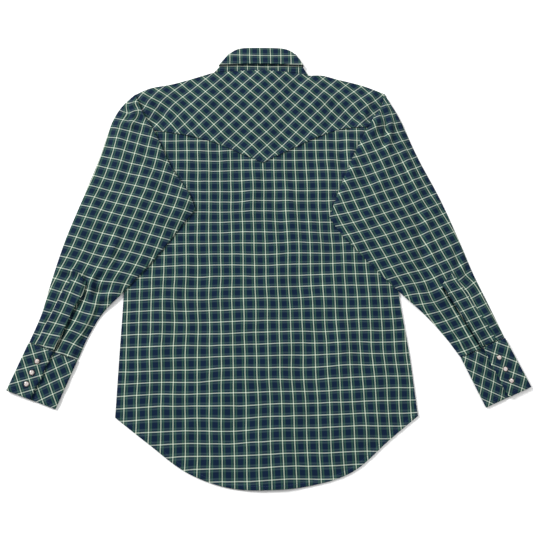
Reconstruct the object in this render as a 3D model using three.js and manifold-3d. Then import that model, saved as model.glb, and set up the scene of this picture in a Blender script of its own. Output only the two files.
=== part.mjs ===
// A western snap shirt laid flat on its front, with its sleeves swung down over the back.
// Millimetres. +Z is up, +Y runs to the collar and +X to the wearer's right. The floor is z = 0.
// Each panel is a wall between an outer and an inner grid of points. A panel's plan is a patch
// between four edge curves, and its height is the sum of what lies under it, its loft and its folds.
import * as THREE from "three";
import Module from "manifold-3d";

// Cloth walls, with the fold and seam allowances that stiffen them, and the gap that sewn pieces keep
const CLOTH = 1.2;
const COLLAR_CLOTH = 1.5;
const CUFF_CLOTH = 1.6;
const GAP = 0.3;
const PLY = CLOTH + GAP;

// How far the back stands off the fronts in the middle, and how far from an edge it gets there.
// The edges are simple ones: straight sides, an arched hem and shoulders that slope to the arms
const BODY_LOFT = 2.0;
const LOFT_REACH = 90;
const LOFT_EDGES = {
  middleX: -14,
  halfWidth: 258,
  hemY: -428,
  hemArch: 127,
  hemHalfWidth: 264,
  shoulderY: 385,
  shoulderSlope: 0.24,
};

// Sleeves: their loft, the share of it left at the cuff, and how its profile and its folds flatten
// towards the two edges. Beside the body they drop to the floor
const SLEEVE_LOFT = { height: 1.7, cuffShare: 0.5, power: 4, foldPower: 6 };
const SLEEVE_DROP = { leftX: -272, rightX: 246, start: 14, length: 30 };
const SLEEVE_FOLD_INSETS = [2, 9];

// The closing line, the lap of the fronts on each side of it, and the ridge that the lap makes
const CENTRE_X = -10;
const LAP = 16;
const LAP_RAISE = 1.8;
const LAP_CLEAR = 2;
const LAP_RAMP = 26;
const LAP_RIDGE = { top: 22, foot: 60 };

// The front of the collar lies under the fronts and lifts them
const COLLAR_RAISE = 1.8;
const COLLAR_BED = { left: -102, right: 86, low: 226, fade: 60 };

// Hem of the back, from its left corner to its right one
const HEM = [
  { x: -278, y: -301 },
  { x: -223, y: -344 },
  { x: -154, y: -395 },
  { x: -81, y: -422 },
  { x: -14, y: -427 },
  { x: 53, y: -423 },
  { x: 128, y: -403 },
  { x: 199, y: -351 },
  { x: 252, y: -313 },
];

// The fronts end a little inside the back's hem, each at its own share of it
const FRONT_HEM = { left: 0.53, right: 0.477, inset: 1 };

// Side seams from the hem up to the underarm, then the armholes up to the shoulder, and the
// share of a panel's side edge that the seam takes
const SEAM_SHARE = { back: 0.7, front: 0.6 };
const SIDE_LEFT = [
  { x: -278, y: -301 },
  { x: -275, y: -207 },
  { x: -271, y: -93 },
  { x: -268, y: 75 },
];
const ARMHOLE_LEFT = [
  { x: -268, y: 75 },
  { x: -255, y: 130 },
  { x: -249, y: 190 },
  { x: -252, y: 245 },
];
const SIDE_RIGHT = [
  { x: 252, y: -313 },
  { x: 246, y: -200 },
  { x: 237, y: -102 },
  { x: 234, y: 60 },
];
const ARMHOLE_RIGHT = [
  { x: 234, y: 60 },
  { x: 224, y: 120 },
  { x: 222, y: 185 },
  { x: 232, y: 250 },
];

// The yoke: its short armhole ends, its pointed lower edge and its shoulders from arm to neck
const YOKE_END_LEFT = [
  { x: -252, y: 245 },
  { x: -257, y: 285 },
  { x: -264, y: 320 },
];
const YOKE_END_RIGHT = [
  { x: 232, y: 250 },
  { x: 239, y: 292 },
  { x: 245, y: 324 },
];
const YOKE_POINT_LEFT = [
  { x: -252, y: 245 },
  { x: -189, y: 236 },
  { x: -117, y: 219 },
  { x: -69, y: 198 },
  { x: -11, y: 171 },
];
const YOKE_POINT_RIGHT = [
  { x: -11, y: 171 },
  { x: 38, y: 196 },
  { x: 105, y: 228 },
  { x: 150, y: 244 },
  { x: 232, y: 250 },
];
const SHOULDER_LEFT = [
  { x: -264, y: 320 },
  { x: -234, y: 335 },
  { x: -189, y: 345 },
  { x: -150, y: 357 },
  { x: -105, y: 371.4 },
];
const SHOULDER_RIGHT = [
  { x: 88, y: 365.4 },
  { x: 117, y: 366 },
  { x: 147, y: 358 },
  { x: 200, y: 343 },
  { x: 245, y: 324 },
];
const SHOULDER_WRAP = 28;
const WRAP_RADIUS = (PLY + CLOTH) / 2;
const WRAP_TURNS = [45, 0, -45, -90];
const NECK_AT = 0.3;

// The front neckline is a U from the neck's sides down to the closing line. It starts on each
// front at a share of the way up to the neck's side
const NECK_LOW = 290;
const NECK_POWER = 2.4;
const NECK_START = 0.84;
const NECK_GAP = 0.5;

// Sleeve sections from the head to the cuff seam: the outer fold and the underarm edge
const SLEEVE_LEFT = [
  { outerX: -267, outerY: 318, innerX: -141, innerY: 76 },
  { outerX: -303, outerY: 264, innerX: -166, innerY: 44 },
  { outerX: -328, outerY: 178, innerX: -195, innerY: 6 },
  { outerX: -356, outerY: 95, innerX: -228, innerY: -34 },
  { outerX: -383, outerY: 14, innerX: -270, innerY: -80 },
  { outerX: -402, outerY: -60, innerX: -307, innerY: -119 },
  { outerX: -415, outerY: -118, innerX: -330, innerY: -159 },
  { outerX: -433, outerY: -168, innerX: -347, innerY: -201 },
];
const SLEEVE_RIGHT = [
  { outerX: 248, outerY: 322, innerX: 113, innerY: 57 },
  { outerX: 267, outerY: 272, innerX: 136, innerY: 22 },
  { outerX: 301, outerY: 178, innerX: 166, innerY: -13 },
  { outerX: 335, outerY: 95, innerX: 203, innerY: -54 },
  { outerX: 362, outerY: 14, innerX: 246, innerY: -98 },
  { outerX: 384, outerY: -58, innerX: 286, innerY: -137 },
  { outerX: 407, outerY: -120, innerX: 318, innerY: -177 },
  { outerX: 428, outerY: -178, innerX: 341, innerY: -212 },
];

// The sleeve head's seam, from the shoulder to the underarm corner
const HEAD_LEFT = [
  { x: -267, y: 318 },
  { x: -247, y: 272 },
  { x: -223, y: 238 },
  { x: -188, y: 163 },
  { x: -155, y: 110 },
  { x: -141, y: 76 },
];
const HEAD_RIGHT = [
  { x: 248, y: 322 },
  { x: 238, y: 292 },
  { x: 213, y: 263 },
  { x: 181, y: 211 },
  { x: 138, y: 120 },
  { x: 113, y: 57 },
];

// Slit plackets: the share of the sleeve's width at the slit, the strip's width and its length
const PLACKET = { leftSlit: 0.55, rightSlit: 0.555, width: 34, length: 136, end: 0.995, lift: 0.5 };

// Cuffs: the seam's two ends and the lower edge's two ends, outer side first
const CUFF_LEFT = {
  seamOuter: { x: -433.2, y: -168.6 },
  seamInner: { x: -347.2, y: -201.6 },
  endOuter: { x: -465, y: -250 },
  endInner: { x: -380, y: -284 },
};
const CUFF_RIGHT = {
  seamOuter: { x: 428.2, y: -178.6 },
  seamInner: { x: 341.2, y: -212.6 },
  endOuter: { x: 465, y: -268 },
  endInner: { x: 377, y: -302 },
};
const CUFF = { lap: 0.515, underLap: 12, topWall: 3.8, overLap: 5.7 };
// Shares of the cuff's width where its three runs have a point between their ends
const CUFF_POINTS = { overLap: [0.3, 0.15], under: [0.35, 0.65], underLap: [0.7, 0.45] };
const CUFF_TURNS = [90, 45, 0, -45, -90];
const CUFF_SNAP = { share: 0.315, first: 0.28, step: 0.235, count: 3 };

// Snaps: a domed pearl in a metal ring on the cuffs, and flat ones flush in the left front
const SNAP = { radius: 5.3, bevel: 0.5, lean: 0.4, ring: 3.9, rim: 1.4, dome: 2.0, sides: 18 };
const SNAP_SHOULDER = { share: 0.55, drop: 0.15 };
const FRONT_SNAP = { top: 262, pitch: 88, count: 7, thickness: CLOTH, clearance: GAP, holeDepth: 8 };

// Collar rings from seam to free edge. Each is a loop laid flat: the fold at its left and right,
// the middle of its back run, and where its front run ends beside the closing line
const STAND_SEAM = {
  left: { x: -104, y: 372.2 },
  right: { x: 87.2, y: 366.2 },
  mid: 375.4,
  corner: 2.4,
  endLeft: { x: -10.4, y: NECK_LOW },
  endRight: { x: -9.6, y: NECK_LOW },
  bow: NECK_POWER,
  top: 4.5,
  under: 1.8,
};
const STAND_TOP = {
  left: { x: -69, y: 413 },
  right: { x: 62, y: 412 },
  mid: 423.5,
  corner: 4,
  endLeft: { x: -10.4, y: 322 },
  endRight: { x: -9.6, y: 322 },
  bow: NECK_POWER,
  top: 5.5,
  under: 1.8,
};
const LEAF_ROLL = {
  left: { x: -75, y: 413.5 },
  right: { x: 65, y: 413 },
  mid: 427,
  corner: 5,
  endLeft: { x: -14, y: 325 },
  endRight: { x: -6, y: 325 },
  bow: NECK_POWER,
  top: 7.4,
  under: 0,
};
const LEAF_EDGE = {
  left: { x: -95.5, y: 386.5 },
  right: { x: 79, y: 386.5 },
  mid: 389,
  corner: 2,
  endLeft: { x: -54, y: 256 },
  endRight: { x: 34, y: 256 },
  bow: 1.3,
  top: 7.2,
  under: 0,
};
const LEAF_CROWN = 0.6;
const COLLAR_COUNTS = { front: 5, fold: 4, back: 8, across: 3 };

// Folds: a soft ridge (or a trough, with a height below 0) through a point, at an angle from +X
const BACK_FOLDS = [
  { x: 24, y: 45, angle: 94, length: 170, width: 13, height: -1.3 },
  { x: 46, y: 60, angle: 96, length: 190, width: 15, height: 1.5 },
  { x: -30, y: 105, angle: 84, length: 120, width: 14, height: 1.2 },
  { x: 150, y: 190, angle: 98, length: 120, width: 13, height: 1.8 },
  { x: -165, y: -60, angle: 72, length: 190, width: 18, height: 1.5 },
  { x: 120, y: -150, angle: 103, length: 220, width: 20, height: 1.6 },
  { x: -70, y: -230, angle: 82, length: 200, width: 20, height: 1.4 },
  { x: -90, y: 300, angle: 155, length: 90, width: 13, height: 1.3 },
  { x: 120, y: 310, angle: 25, length: 90, width: 13, height: 1.4 },
];
const SLEEVE_LEFT_FOLDS = [
  { x: -268, y: 285, angle: 100, length: 70, width: 11, height: 2.2 },
  { x: -250, y: 255, angle: 118, length: 60, width: 10, height: 1.6 },
  { x: -285, y: 215, angle: 108, length: 110, width: 14, height: 1.5 },
  { x: -292, y: -15, angle: 60, length: 90, width: 13, height: 1.9 },
  { x: -338, y: -40, angle: 108, length: 100, width: 12, height: 1.5 },
  { x: -355, y: -140, angle: 112, length: 90, width: 10, height: 1.8 },
  { x: -412, y: -135, angle: 110, length: 60, width: 9, height: 1.4 },
];
const SLEEVE_RIGHT_FOLDS = [
  { x: 243, y: 262, angle: 84, length: 80, width: 10, height: 2.3 },
  { x: 222, y: 246, angle: 60, length: 55, width: 10, height: 1.5 },
  { x: 262, y: 205, angle: 72, length: 110, width: 14, height: 1.5 },
  { x: 240, y: -20, angle: 128, length: 100, width: 14, height: 1.9 },
  { x: 300, y: -60, angle: 60, length: 90, width: 12, height: 1.4 },
  { x: 345, y: -165, angle: 62, length: 80, width: 10, height: 1.8 },
  { x: 402, y: -150, angle: 66, length: 60, width: 9, height: 1.4 },
];

// Grid counts
const BODY_COLUMNS = 20;
const BACK_ROWS = 16;
const YOKE_ROWS = 7;
const FRONT_ROWS = 10;
const SLEEVE_STATIONS = 24;
const SLEEVE_COLUMNS = 9;
const CUFF_ROWS = 4;
const PLACKET_ROWS = 11;
const PLACKET_COLUMNS = 5;
const CURVE_DIVISIONS = 300;
const TANGENT_STEP = 0.02;

const { clamp, lerp, degToRad } = THREE.MathUtils;
const vector = (x, y, z = 0) => new THREE.Vector3(x, y, z);
const mix = (a, b, t) => a.clone().lerp(b, t);
const steps = (count) => Array.from({ length: count + 1 }, (_, i) => i / count);

// Curves and patches

// A smooth curve through a table's rows, by its share of the length
function smooth(rows) {
  const curve = new THREE.CatmullRomCurve3(rows.map((r) => vector(r.x, r.y)), false, "centripetal");
  curve.arcLengthDivisions = CURVE_DIVISIONS;
  return (t) => curve.getPointAt(clamp(t, 0, 1));
}

// An edge of several stretches with corners between them, each up to its own share
function edge(...stretches) {
  const parts = stretches.map(({ rows, at, to }) => ({ to, at: at ?? smooth(rows) }));
  return (t) => {
    const index = Math.max(0, parts.findIndex((part) => t <= part.to + 1e-9));
    const from = index > 0 ? parts[index - 1].to : 0;
    return parts[index].at((t - from) / (parts[index].to - from));
  };
}

// The flat patch between four edges
function patch({ left, right, bottom, top }) {
  return (u, v) => {
    const across = mix(left(v), right(v), u);
    const along = mix(bottom(u), top(u), v);
    const low = mix(bottom(0), bottom(1), u);
    const high = mix(top(0), top(1), u);
    return across.add(along).sub(mix(low, high, v));
  };
}

// Walls

// A closed wall from a grid of { outer, inner } points. Cells left out make its outline, and
// a closed grid joins its last column to its first.
function wall(grid, { closed = false, used = () => true } = {}) {
  const columns = grid.length;
  const rows = grid[0].length;
  const cells = closed ? columns : columns - 1;
  const isUsed = (i, j) => {
    const inside = j >= 0 && j < rows - 1 && (closed || (i >= 0 && i < cells));
    return inside && used((i + cells) % cells, j);
  };
  const positions = grid.flat().flatMap((point) => [...point.outer.toArray(), ...point.inner.toArray()]);
  const outer = (i, j) => 2 * ((i % columns) * rows + j);
  const index = [];
  const quad = (a, b, c, d) => index.push(a, b, c, a, c, d);
  for (let i = 0; i < cells; i++) {
    for (let j = 0; j < rows - 1; j++) {
      if (!isUsed(i, j)) continue;
      const [a, b, c, d] = [outer(i, j), outer(i + 1, j), outer(i + 1, j + 1), outer(i, j + 1)];
      quad(a, b, c, d);
      quad(d + 1, c + 1, b + 1, a + 1);
      if (!isUsed(i, j - 1)) quad(b, a, a + 1, b + 1);
      if (!isUsed(i, j + 1)) quad(d, c, c + 1, d + 1);
      if (!isUsed(i - 1, j)) quad(a, d, d + 1, a + 1);
      if (!isUsed(i + 1, j)) quad(c, b, b + 1, c + 1);
    }
  }
  return facingOut(compact(positions, index));
}

// Drops the points that no face uses
function compact(positions, index) {
  const places = new Map();
  const kept = [];
  const renumbered = index.map((old) => {
    if (!places.has(old)) {
      places.set(old, places.size);
      kept.push(...positions.slice(3 * old, 3 * old + 3));
    }
    return places.get(old);
  });
  return { positions: kept, index: renumbered };
}

// The geometry with its faces turned so that its volume is positive
function facingOut({ positions, index }) {
  const corner = (i) => new THREE.Vector3().fromArray(positions, 3 * index[i]);
  let volume = 0;
  for (let i = 0; i < index.length; i += 3) {
    volume += corner(i).dot(corner(i + 1).cross(corner(i + 2)));
  }
  const turned = volume > 0 ? index : index.toReversed();
  const geometry = new THREE.BufferGeometry();
  geometry.setAttribute("position", new THREE.Float32BufferAttribute(positions, 3));
  geometry.setIndex(turned);
  return geometry;
}

// A wall of vertical thickness over a flat patch, with its underside at the given height
function panel(plan, { us, vs, under, thickness = CLOTH }) {
  return wall(
    us.map((u) =>
      vs.map((v) => {
        const point = plan(u, v);
        const low = under(point.x, point.y, u, v);
        return {
          outer: vector(point.x, point.y, low + thickness),
          inner: vector(point.x, point.y, low),
        };
      }),
    ),
  );
}

// Heights

const rise = (share) => 1 - (1 - clamp(share, 0, 1)) ** 2;

// The sum of a table's folds at a point
function folds(table, x, y) {
  return table.reduce((sum, fold) => {
    const angle = degToRad(fold.angle);
    const along = (x - fold.x) * Math.cos(angle) + (y - fold.y) * Math.sin(angle);
    const across = (y - fold.y) * Math.cos(angle) - (x - fold.x) * Math.sin(angle);
    const taper = Math.max(0, 1 - (2 * along / fold.length) ** 2);
    return sum + fold.height * taper * Math.exp(-((across / fold.width) ** 2));
  }, 0);
}

// The lift that the collar's front gives to all that lies over it
function collarRaise(x, y) {
  const away = Math.max(COLLAR_BED.left - x, x - COLLAR_BED.right, COLLAR_BED.low - y, 0);
  return COLLAR_RAISE * (1 - clamp(away / COLLAR_BED.fade, 0, 1));
}

// The back's loft, nothing at its sides, hem and shoulders
function bodyLoft(x, y) {
  const away = Math.abs(x - LOFT_EDGES.middleX);
  const side = LOFT_EDGES.halfWidth - away;
  const hem = y - LOFT_EDGES.hemY - LOFT_EDGES.hemArch * (away / LOFT_EDGES.hemHalfWidth) ** 2;
  const shoulder = LOFT_EDGES.shoulderY - LOFT_EDGES.shoulderSlope * away - y;
  return BODY_LOFT * rise(side / LOFT_REACH) * rise(hem / LOFT_REACH) * rise(shoulder / LOFT_REACH);
}

// The ridge over the lapped fronts
function lapRidge(x) {
  const { top, foot } = LAP_RIDGE;
  return LAP_RAISE * clamp((foot - Math.abs(x - CENTRE_X)) / (foot - top), 0, 1);
}

// The underside of the back and yoke
function backUnder(x, y) {
  const loft = bodyLoft(x, y);
  const fold = folds(BACK_FOLDS, x, y) * clamp(loft / BODY_LOFT, 0, 1);
  return PLY + collarRaise(x, y) + lapRidge(x) + loft + fold;
}

// The underside of a front, raised over the other front where it laps
function frontUnder(x, y, isRight) {
  const rampFoot = CENTRE_X + LAP + LAP_CLEAR + LAP_RAMP;
  const lapped = isRight ? clamp((rampFoot - x) / LAP_RAMP, 0, 1) : 0;
  return collarRaise(x, y) + LAP_RAISE * lapped;
}

// The underside of a sleeve: on the back, then down to the floor beside it
function sleeveUnder(x, y) {
  const { leftX, rightX, start, length } = SLEEVE_DROP;
  const beside = Math.max(leftX - x, x - rightX) - start;
  const share = 1 - clamp(beside / length, 0, 1);
  return share * (backUnder(x, y) + CLOTH + GAP);
}

// Body

const shoulderLeft = smooth(SHOULDER_LEFT);
const shoulderRight = smooth(SHOULDER_RIGHT);

// A point inside the shoulder's fold, at a depth from it
function insideShoulder(curve, t, depth) {
  const ahead = curve(t + TANGENT_STEP).sub(curve(t - TANGENT_STEP)).normalize();
  return curve(t).add(vector(ahead.y, -ahead.x).multiplyScalar(depth));
}

function backPanel() {
  const drop = (rows) => rows.map((r) => ({ x: r.x, y: r.y - GAP }));
  const plan = patch({
    left: edge({ rows: SIDE_LEFT, to: SEAM_SHARE.back }, { rows: drop(ARMHOLE_LEFT), to: 1 }),
    right: edge({ rows: SIDE_RIGHT, to: SEAM_SHARE.back }, { rows: drop(ARMHOLE_RIGHT), to: 1 }),
    bottom: smooth(HEM),
    top: edge({ rows: drop(YOKE_POINT_LEFT), to: 0.5 }, { rows: drop(YOKE_POINT_RIGHT), to: 1 }),
  });
  return panel(plan, { us: steps(BODY_COLUMNS), vs: steps(BACK_ROWS), under: backUnder });
}

// The yoke is flat on the back, and past the shoulders it folds round onto the fronts
function backYoke() {
  const plan = patch({
    left: smooth(YOKE_END_LEFT),
    right: smooth(YOKE_END_RIGHT),
    bottom: edge({ rows: YOKE_POINT_LEFT, to: 0.5 }, { rows: YOKE_POINT_RIGHT, to: 1 }),
    top: edge(
      { rows: SHOULDER_LEFT, to: NECK_AT },
      { at: (t) => seamRun(t).sub(vector(0, NECK_GAP)), to: 1 - NECK_AT },
      { rows: SHOULDER_RIGHT, to: 1 },
    ),
  });
  const isShoulder = (u) => u <= NECK_AT || u >= 1 - NECK_AT;
  const grid = steps(BODY_COLUMNS).map((u) => {
    const column = steps(YOKE_ROWS).map((v) => {
      const point = plan(u, v);
      const low = backUnder(point.x, point.y);
      if (v === 1 && isShoulder(u)) {
        const edgePoint = foldedShoulder(u, WRAP_RADIUS);
        return { outer: edgePoint.clone().setZ(low + CLOTH), inner: edgePoint.clone().setZ(low) };
      }
      return { outer: vector(point.x, point.y, low + CLOTH), inner: vector(point.x, point.y, low) };
    });
    return column.concat(shoulderWrap(u));
  });
  return wall(grid, { used: (i, j) => j < YOKE_ROWS || isShoulder((i + 0.5) / BODY_COLUMNS) });
}

// A point of the shoulder at a depth inside its fold, for a share of the yoke's width
function foldedShoulder(u, depth) {
  if (u <= NECK_AT) return insideShoulder(shoulderLeft, u / NECK_AT, depth);
  return insideShoulder(shoulderRight, (u - 1 + NECK_AT) / NECK_AT, depth);
}

// The points of the yoke round the shoulder's fold and back under it
function shoulderWrap(u) {
  const nearest = u <= 0.5 ? Math.min(u, NECK_AT) : Math.max(u, 1 - NECK_AT);
  const centre = foldedShoulder(nearest, WRAP_RADIUS);
  const out = centre.clone().sub(foldedShoulder(nearest, WRAP_RADIUS + 1));
  const middle = collarRaise(centre.x, centre.y) + WRAP_RADIUS;
  const round = WRAP_TURNS.map((turn) => {
    const angle = degToRad(turn);
    const way = out.clone().multiplyScalar(Math.cos(angle)).add(vector(0, 0, Math.sin(angle)));
    const at = (r) => centre.clone().setZ(middle).addScaledVector(way, r);
    return { outer: at(WRAP_RADIUS), inner: at(WRAP_RADIUS - CLOTH) };
  });
  const end = foldedShoulder(nearest, SHOULDER_WRAP);
  const low = collarRaise(end.x, end.y);
  return [...round, { outer: end.clone().setZ(low), inner: end.clone().setZ(low + CLOTH) }];
}

// The collar's seam along the back neck
function seamRun(t) {
  return backRunPoint(STAND_SEAM, t).setZ(0);
}

// The front neckline on one side, from the closing line (0) to the neck's side (1)
function neckline(side, share) {
  const point = frontRunPoint(STAND_SEAM, side, share);
  return vector(point.x + side * NECK_GAP * Math.abs(share), point.y - NECK_GAP);
}

// A front's edge along the shoulder seam, then down the neckline and across the lap
function frontTop(side, lapShare) {
  const shoulder = (t) => {
    const along = side < 0 ? t : 1 - t;
    return insideShoulder(side < 0 ? shoulderLeft : shoulderRight, along, SHOULDER_WRAP + GAP);
  };
  return (t) => (t <= 0.5 ? shoulder(2 * t) : neckline(side, lerp(NECK_START, -lapShare, 2 * t - 1)));
}

function front(side) {
  const isRight = side > 0;
  const sideRows = isRight ? SIDE_RIGHT : SIDE_LEFT;
  const armRows = (isRight ? ARMHOLE_RIGHT : ARMHOLE_LEFT).slice(0, 3);
  const inward = (rows) => rows.map((r) => ({ x: r.x - side * GAP, y: r.y }));
  const lapShare = LAP / Math.abs((isRight ? STAND_SEAM.right.x : STAND_SEAM.left.x) - CENTRE_X);
  const top = frontTop(side, lapShare);
  const armEnd = top(0);
  const hem = smooth(HEM);
  const lapX = CENTRE_X - side * LAP;
  const hemAt = (t) => (isRight ? hem(lerp(1, FRONT_HEM.right, t)) : hem(lerp(0, FRONT_HEM.left, t)));
  const hemEnd = vector(lapX, hemAt(1).y);
  const raised = (point) => point.add(vector(0, FRONT_HEM.inset));
  const plan = patch({
    left: edge(
      { rows: inward(sideRows), to: SEAM_SHARE.front },
      { rows: [...inward(armRows), { x: armEnd.x, y: armEnd.y }], to: 1 },
    ),
    right: (t) => vector(lapX, lerp(hemEnd.y + FRONT_HEM.inset, top(1).y, t)),
    bottom: (t) => raised(t === 1 ? hemEnd.clone() : hemAt(t)),
    top,
  });
  const ofShare = (share) => 0.5 + (0.5 * (NECK_START - share)) / (NECK_START + lapShare);
  const neckShares = steps(COLLAR_COUNTS.front).slice(0, -1).toReversed();
  return panel(plan, {
    us: [...steps(NECK_AT * BODY_COLUMNS).map((t) => t / 2), ...neckShares.map(ofShare), 1],
    vs: steps(FRONT_ROWS),
    under: (x, y) => frontUnder(x, y, isRight),
  });
}

// Sleeves

const sectionEdge = (rows, part) => smooth(rows.map((r) => ({ x: r[part + "X"], y: r[part + "Y"] })));

// A sleeve's plan, its height above what it lies on, and its upper face
function sleeveForm(sections, head, foldTable) {
  const outer = sectionEdge(sections, "outer");
  const inner = sectionEdge(sections, "inner");
  const seamOuter = outer(1);
  const seamInner = inner(1);
  const plan = patch({
    left: outer,
    right: inner,
    bottom: smooth(head),
    top: (t) => mix(seamOuter, seamInner, t),
  });
  const width = (v) => plan(0, v).distanceTo(plan(1, v));
  const hollow = (u, v) => {
    const point = plan(u, v);
    const { height, cuffShare, power, foldPower } = SLEEVE_LOFT;
    const puff = height * (1 - (2 * u - 1) ** power) * lerp(1, cuffShare, v);
    const fold = folds(foldTable, point.x, point.y) * (1 - (2 * u - 1) ** foldPower);
    return GAP + Math.max(0, puff + fold);
  };
  const upper = (u, v) => {
    const point = plan(u, v);
    return point.setZ(sleeveUnder(point.x, point.y) + 2 * CLOTH + hollow(u, v));
  };
  return { plan, width, hollow, upper };
}

// A flattened tube: each station is a loop over the top from the outer fold and back underneath
function sleeve(form) {
  const fractions = steps(SLEEVE_COLUMNS).slice(1, -1);
  const middle = CLOTH + GAP / 2;
  const grid = steps(SLEEVE_STATIONS).map((v) => {
    const at = (inset) => inset / form.width(v);
    const face = (u, uInner, outerLift, innerLift) => {
      const out = form.plan(u, v);
      const inn = form.plan(uInner, v);
      return {
        outer: out.setZ(sleeveUnder(out.x, out.y) + outerLift),
        inner: inn.setZ(sleeveUnder(inn.x, inn.y) + innerLift),
      };
    };
    const over = (u) => face(u, u, 2 * CLOTH + form.hollow(u, v), CLOTH + form.hollow(u, v));
    const below = (u) => face(u, u, 0, CLOTH);
    const nearFold = SLEEVE_FOLD_INSETS.map(at);
    const across = [...nearFold, ...fractions, ...nearFold.map((share) => 1 - share).toReversed()];
    return [
      face(0, at(CLOTH), middle, middle),
      ...across.map(over),
      face(1, 1 - at(CLOTH), middle, middle),
      ...across.toReversed().map(below),
    ];
  });
  const turned = grid[0].map((_, i) => grid.map((station) => station[i]));
  return wall(turned, { closed: true });
}

// The strip over the slit, made from the sleeve's upper points, moved out
function placket(form, slit) {
  const length = form.plan(0.5, 0).distanceTo(form.plan(0.5, 1));
  const start = 1 - PLACKET.length / length;
  const vs = steps(PLACKET_ROWS).map((t) => lerp(start, PLACKET.end, t));
  const grid = steps(PLACKET_COLUMNS).map((t) =>
    vs.map((v) => {
      const point = form.upper(slit - (PLACKET.width / form.width(v)) * (1 - t), v);
      return {
        outer: point.clone().setZ(point.z + PLACKET.lift + CLOTH),
        inner: point.clone().setZ(point.z + PLACKET.lift),
      };
    }),
  );
  return wall(grid);
}

// Cuffs

// The cuff's path over its width: the over-lap's edge, round the outer fold, along the underside,
// round the inner fold and back under the over-lap
function cuffPath(width) {
  const outerRadius = CUFF.overLap / 2;
  const innerRadius = CUFF.topWall / 2;
  const flat = (share, z, face) => ({ w: width * share, z, face, fw: 0 });
  const round = (centre, radius, side) => (turn) => {
    const angle = degToRad(turn);
    return {
      w: centre + side * radius * Math.cos(angle),
      z: radius + radius * Math.sin(angle),
      fw: side * Math.cos(angle),
      face: Math.sin(angle),
    };
  };
  return [
    flat(CUFF.lap, CUFF.overLap, 1),
    ...CUFF_POINTS.overLap.map((share) => flat(share, CUFF.overLap, 1)),
    ...CUFF_TURNS.map(round(outerRadius, outerRadius, -1)),
    ...CUFF_POINTS.under.map((share) => flat(share, 0, -1)),
    ...CUFF_TURNS.toReversed().map(round(width - innerRadius, innerRadius, 1)),
    ...CUFF_POINTS.underLap.map((share) => flat(share, CUFF.topWall, 1)),
    flat(CUFF.underLap / width, CUFF.topWall, 1),
  ];
}

function cuff(corners) {
  const corner = (name) => vector(corners[name].x, corners[name].y);
  const columns = steps(CUFF_ROWS).map((t) => {
    const outer = mix(corner("seamOuter"), corner("endOuter"), t);
    const inner = mix(corner("seamInner"), corner("endInner"), t);
    const width = outer.distanceTo(inner);
    const way = inner.clone().sub(outer).normalize();
    return cuffPath(width).map((p) => ({
      outer: outer.clone().addScaledVector(way, p.w).setZ(p.z),
      inner: outer
        .clone()
        .addScaledVector(way, p.w - CUFF_CLOTH * p.fw)
        .setZ(p.z - CUFF_CLOTH * p.face),
    }));
  });
  return wall(columns);
}

// Collar

// A ring's front run on one side, from the closing line (0) to the fold (1)
function frontRunPoint(ring, side, share) {
  const radius = (ring.top - ring.under) / 2;
  const fold = side < 0 ? ring.left : ring.right;
  const end = side < 0 ? ring.endLeft : ring.endRight;
  const x = lerp(end.x, fold.x - side * radius, share);
  return vector(x, lerp(end.y, fold.y, Math.abs(share) ** ring.bow), ring.under);
}

// A ring's back run from its left fold (0) to its right one (1)
function backRunPoint(ring, t) {
  const radius = (ring.top - ring.under) / 2;
  const level = lerp(ring.left.y, ring.right.y, t);
  const y = lerp(ring.mid, level, Math.abs(2 * t - 1) ** ring.corner);
  return vector(lerp(ring.left.x + radius, ring.right.x - radius, t), y, ring.top);
}

// The points of one collar ring from its left front end, round the left fold, along the back,
// round the right fold and to its right front end, with the way into the cloth at each
function ringPoints(ring) {
  const radius = (ring.top - ring.under) / 2;
  const middle = (ring.top + ring.under) / 2;
  const { front: fronts, fold, back } = COLLAR_COUNTS;
  const frontRun = (side) =>
    steps(fronts)
      .slice(0, -1)
      .map((share) => ({ at: frontRunPoint(ring, side, share), into: vector(0, 0, 1) }));
  const foldRun = (foldPoint, side) =>
    steps(fold).map((t) => {
      const angle = degToRad(lerp(-90, 90, t));
      const out = vector(side * Math.cos(angle), 0, Math.sin(angle));
      const centre = vector(foldPoint.x - side * radius, foldPoint.y, middle);
      return { at: centre.addScaledVector(out, radius), into: out.negate() };
    });
  const backRun = steps(back)
    .slice(1, -1)
    .map((t) => ({ at: backRunPoint(ring, t), into: vector(0, 0, -1) }));
  return [
    ...frontRun(-1),
    ...foldRun(ring.left, -1),
    ...backRun,
    ...foldRun(ring.right, 1).toReversed(),
    ...frontRun(1).toReversed(),
  ];
}

// A collar piece is the strip between two rings, with a low crown along its back
function collarPiece(nearRing, farRing, thickness, crown) {
  const near = ringPoints(nearRing);
  const far = ringPoints(farRing);
  return wall(
    near.map((start, i) =>
      steps(COLLAR_COUNTS.across).map((t) => {
        const at = mix(start.at, far[i].at, t);
        const into = mix(start.into, far[i].into, t).normalize();
        const isBackRun = into.z < -0.9;
        at.z += isBackRun ? crown * 4 * t * (1 - t) : 0;
        return { outer: at, inner: at.clone().addScaledVector(into, thickness) };
      }),
    ),
  );
}

// Snaps

function cuffSnap() {
  const { radius, bevel, lean, ring, rim, dome, sides } = SNAP;
  const profile = [
    [0, 0],
    [radius - bevel, 0],
    [radius, bevel],
    [radius - lean, rim],
    [ring, rim],
    [ring * SNAP_SHOULDER.share, dome - SNAP_SHOULDER.drop],
    [0, dome],
  ].map(([r, z]) => new THREE.Vector2(r, z));
  return new THREE.LatheGeometry(profile, sides).rotateX(Math.PI / 2);
}

function disc(radius, thickness) {
  return new THREE.CylinderGeometry(radius, radius, thickness, SNAP.sides).rotateX(Math.PI / 2);
}

// Booleans

const wasm = await Module();
wasm.setup();

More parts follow.
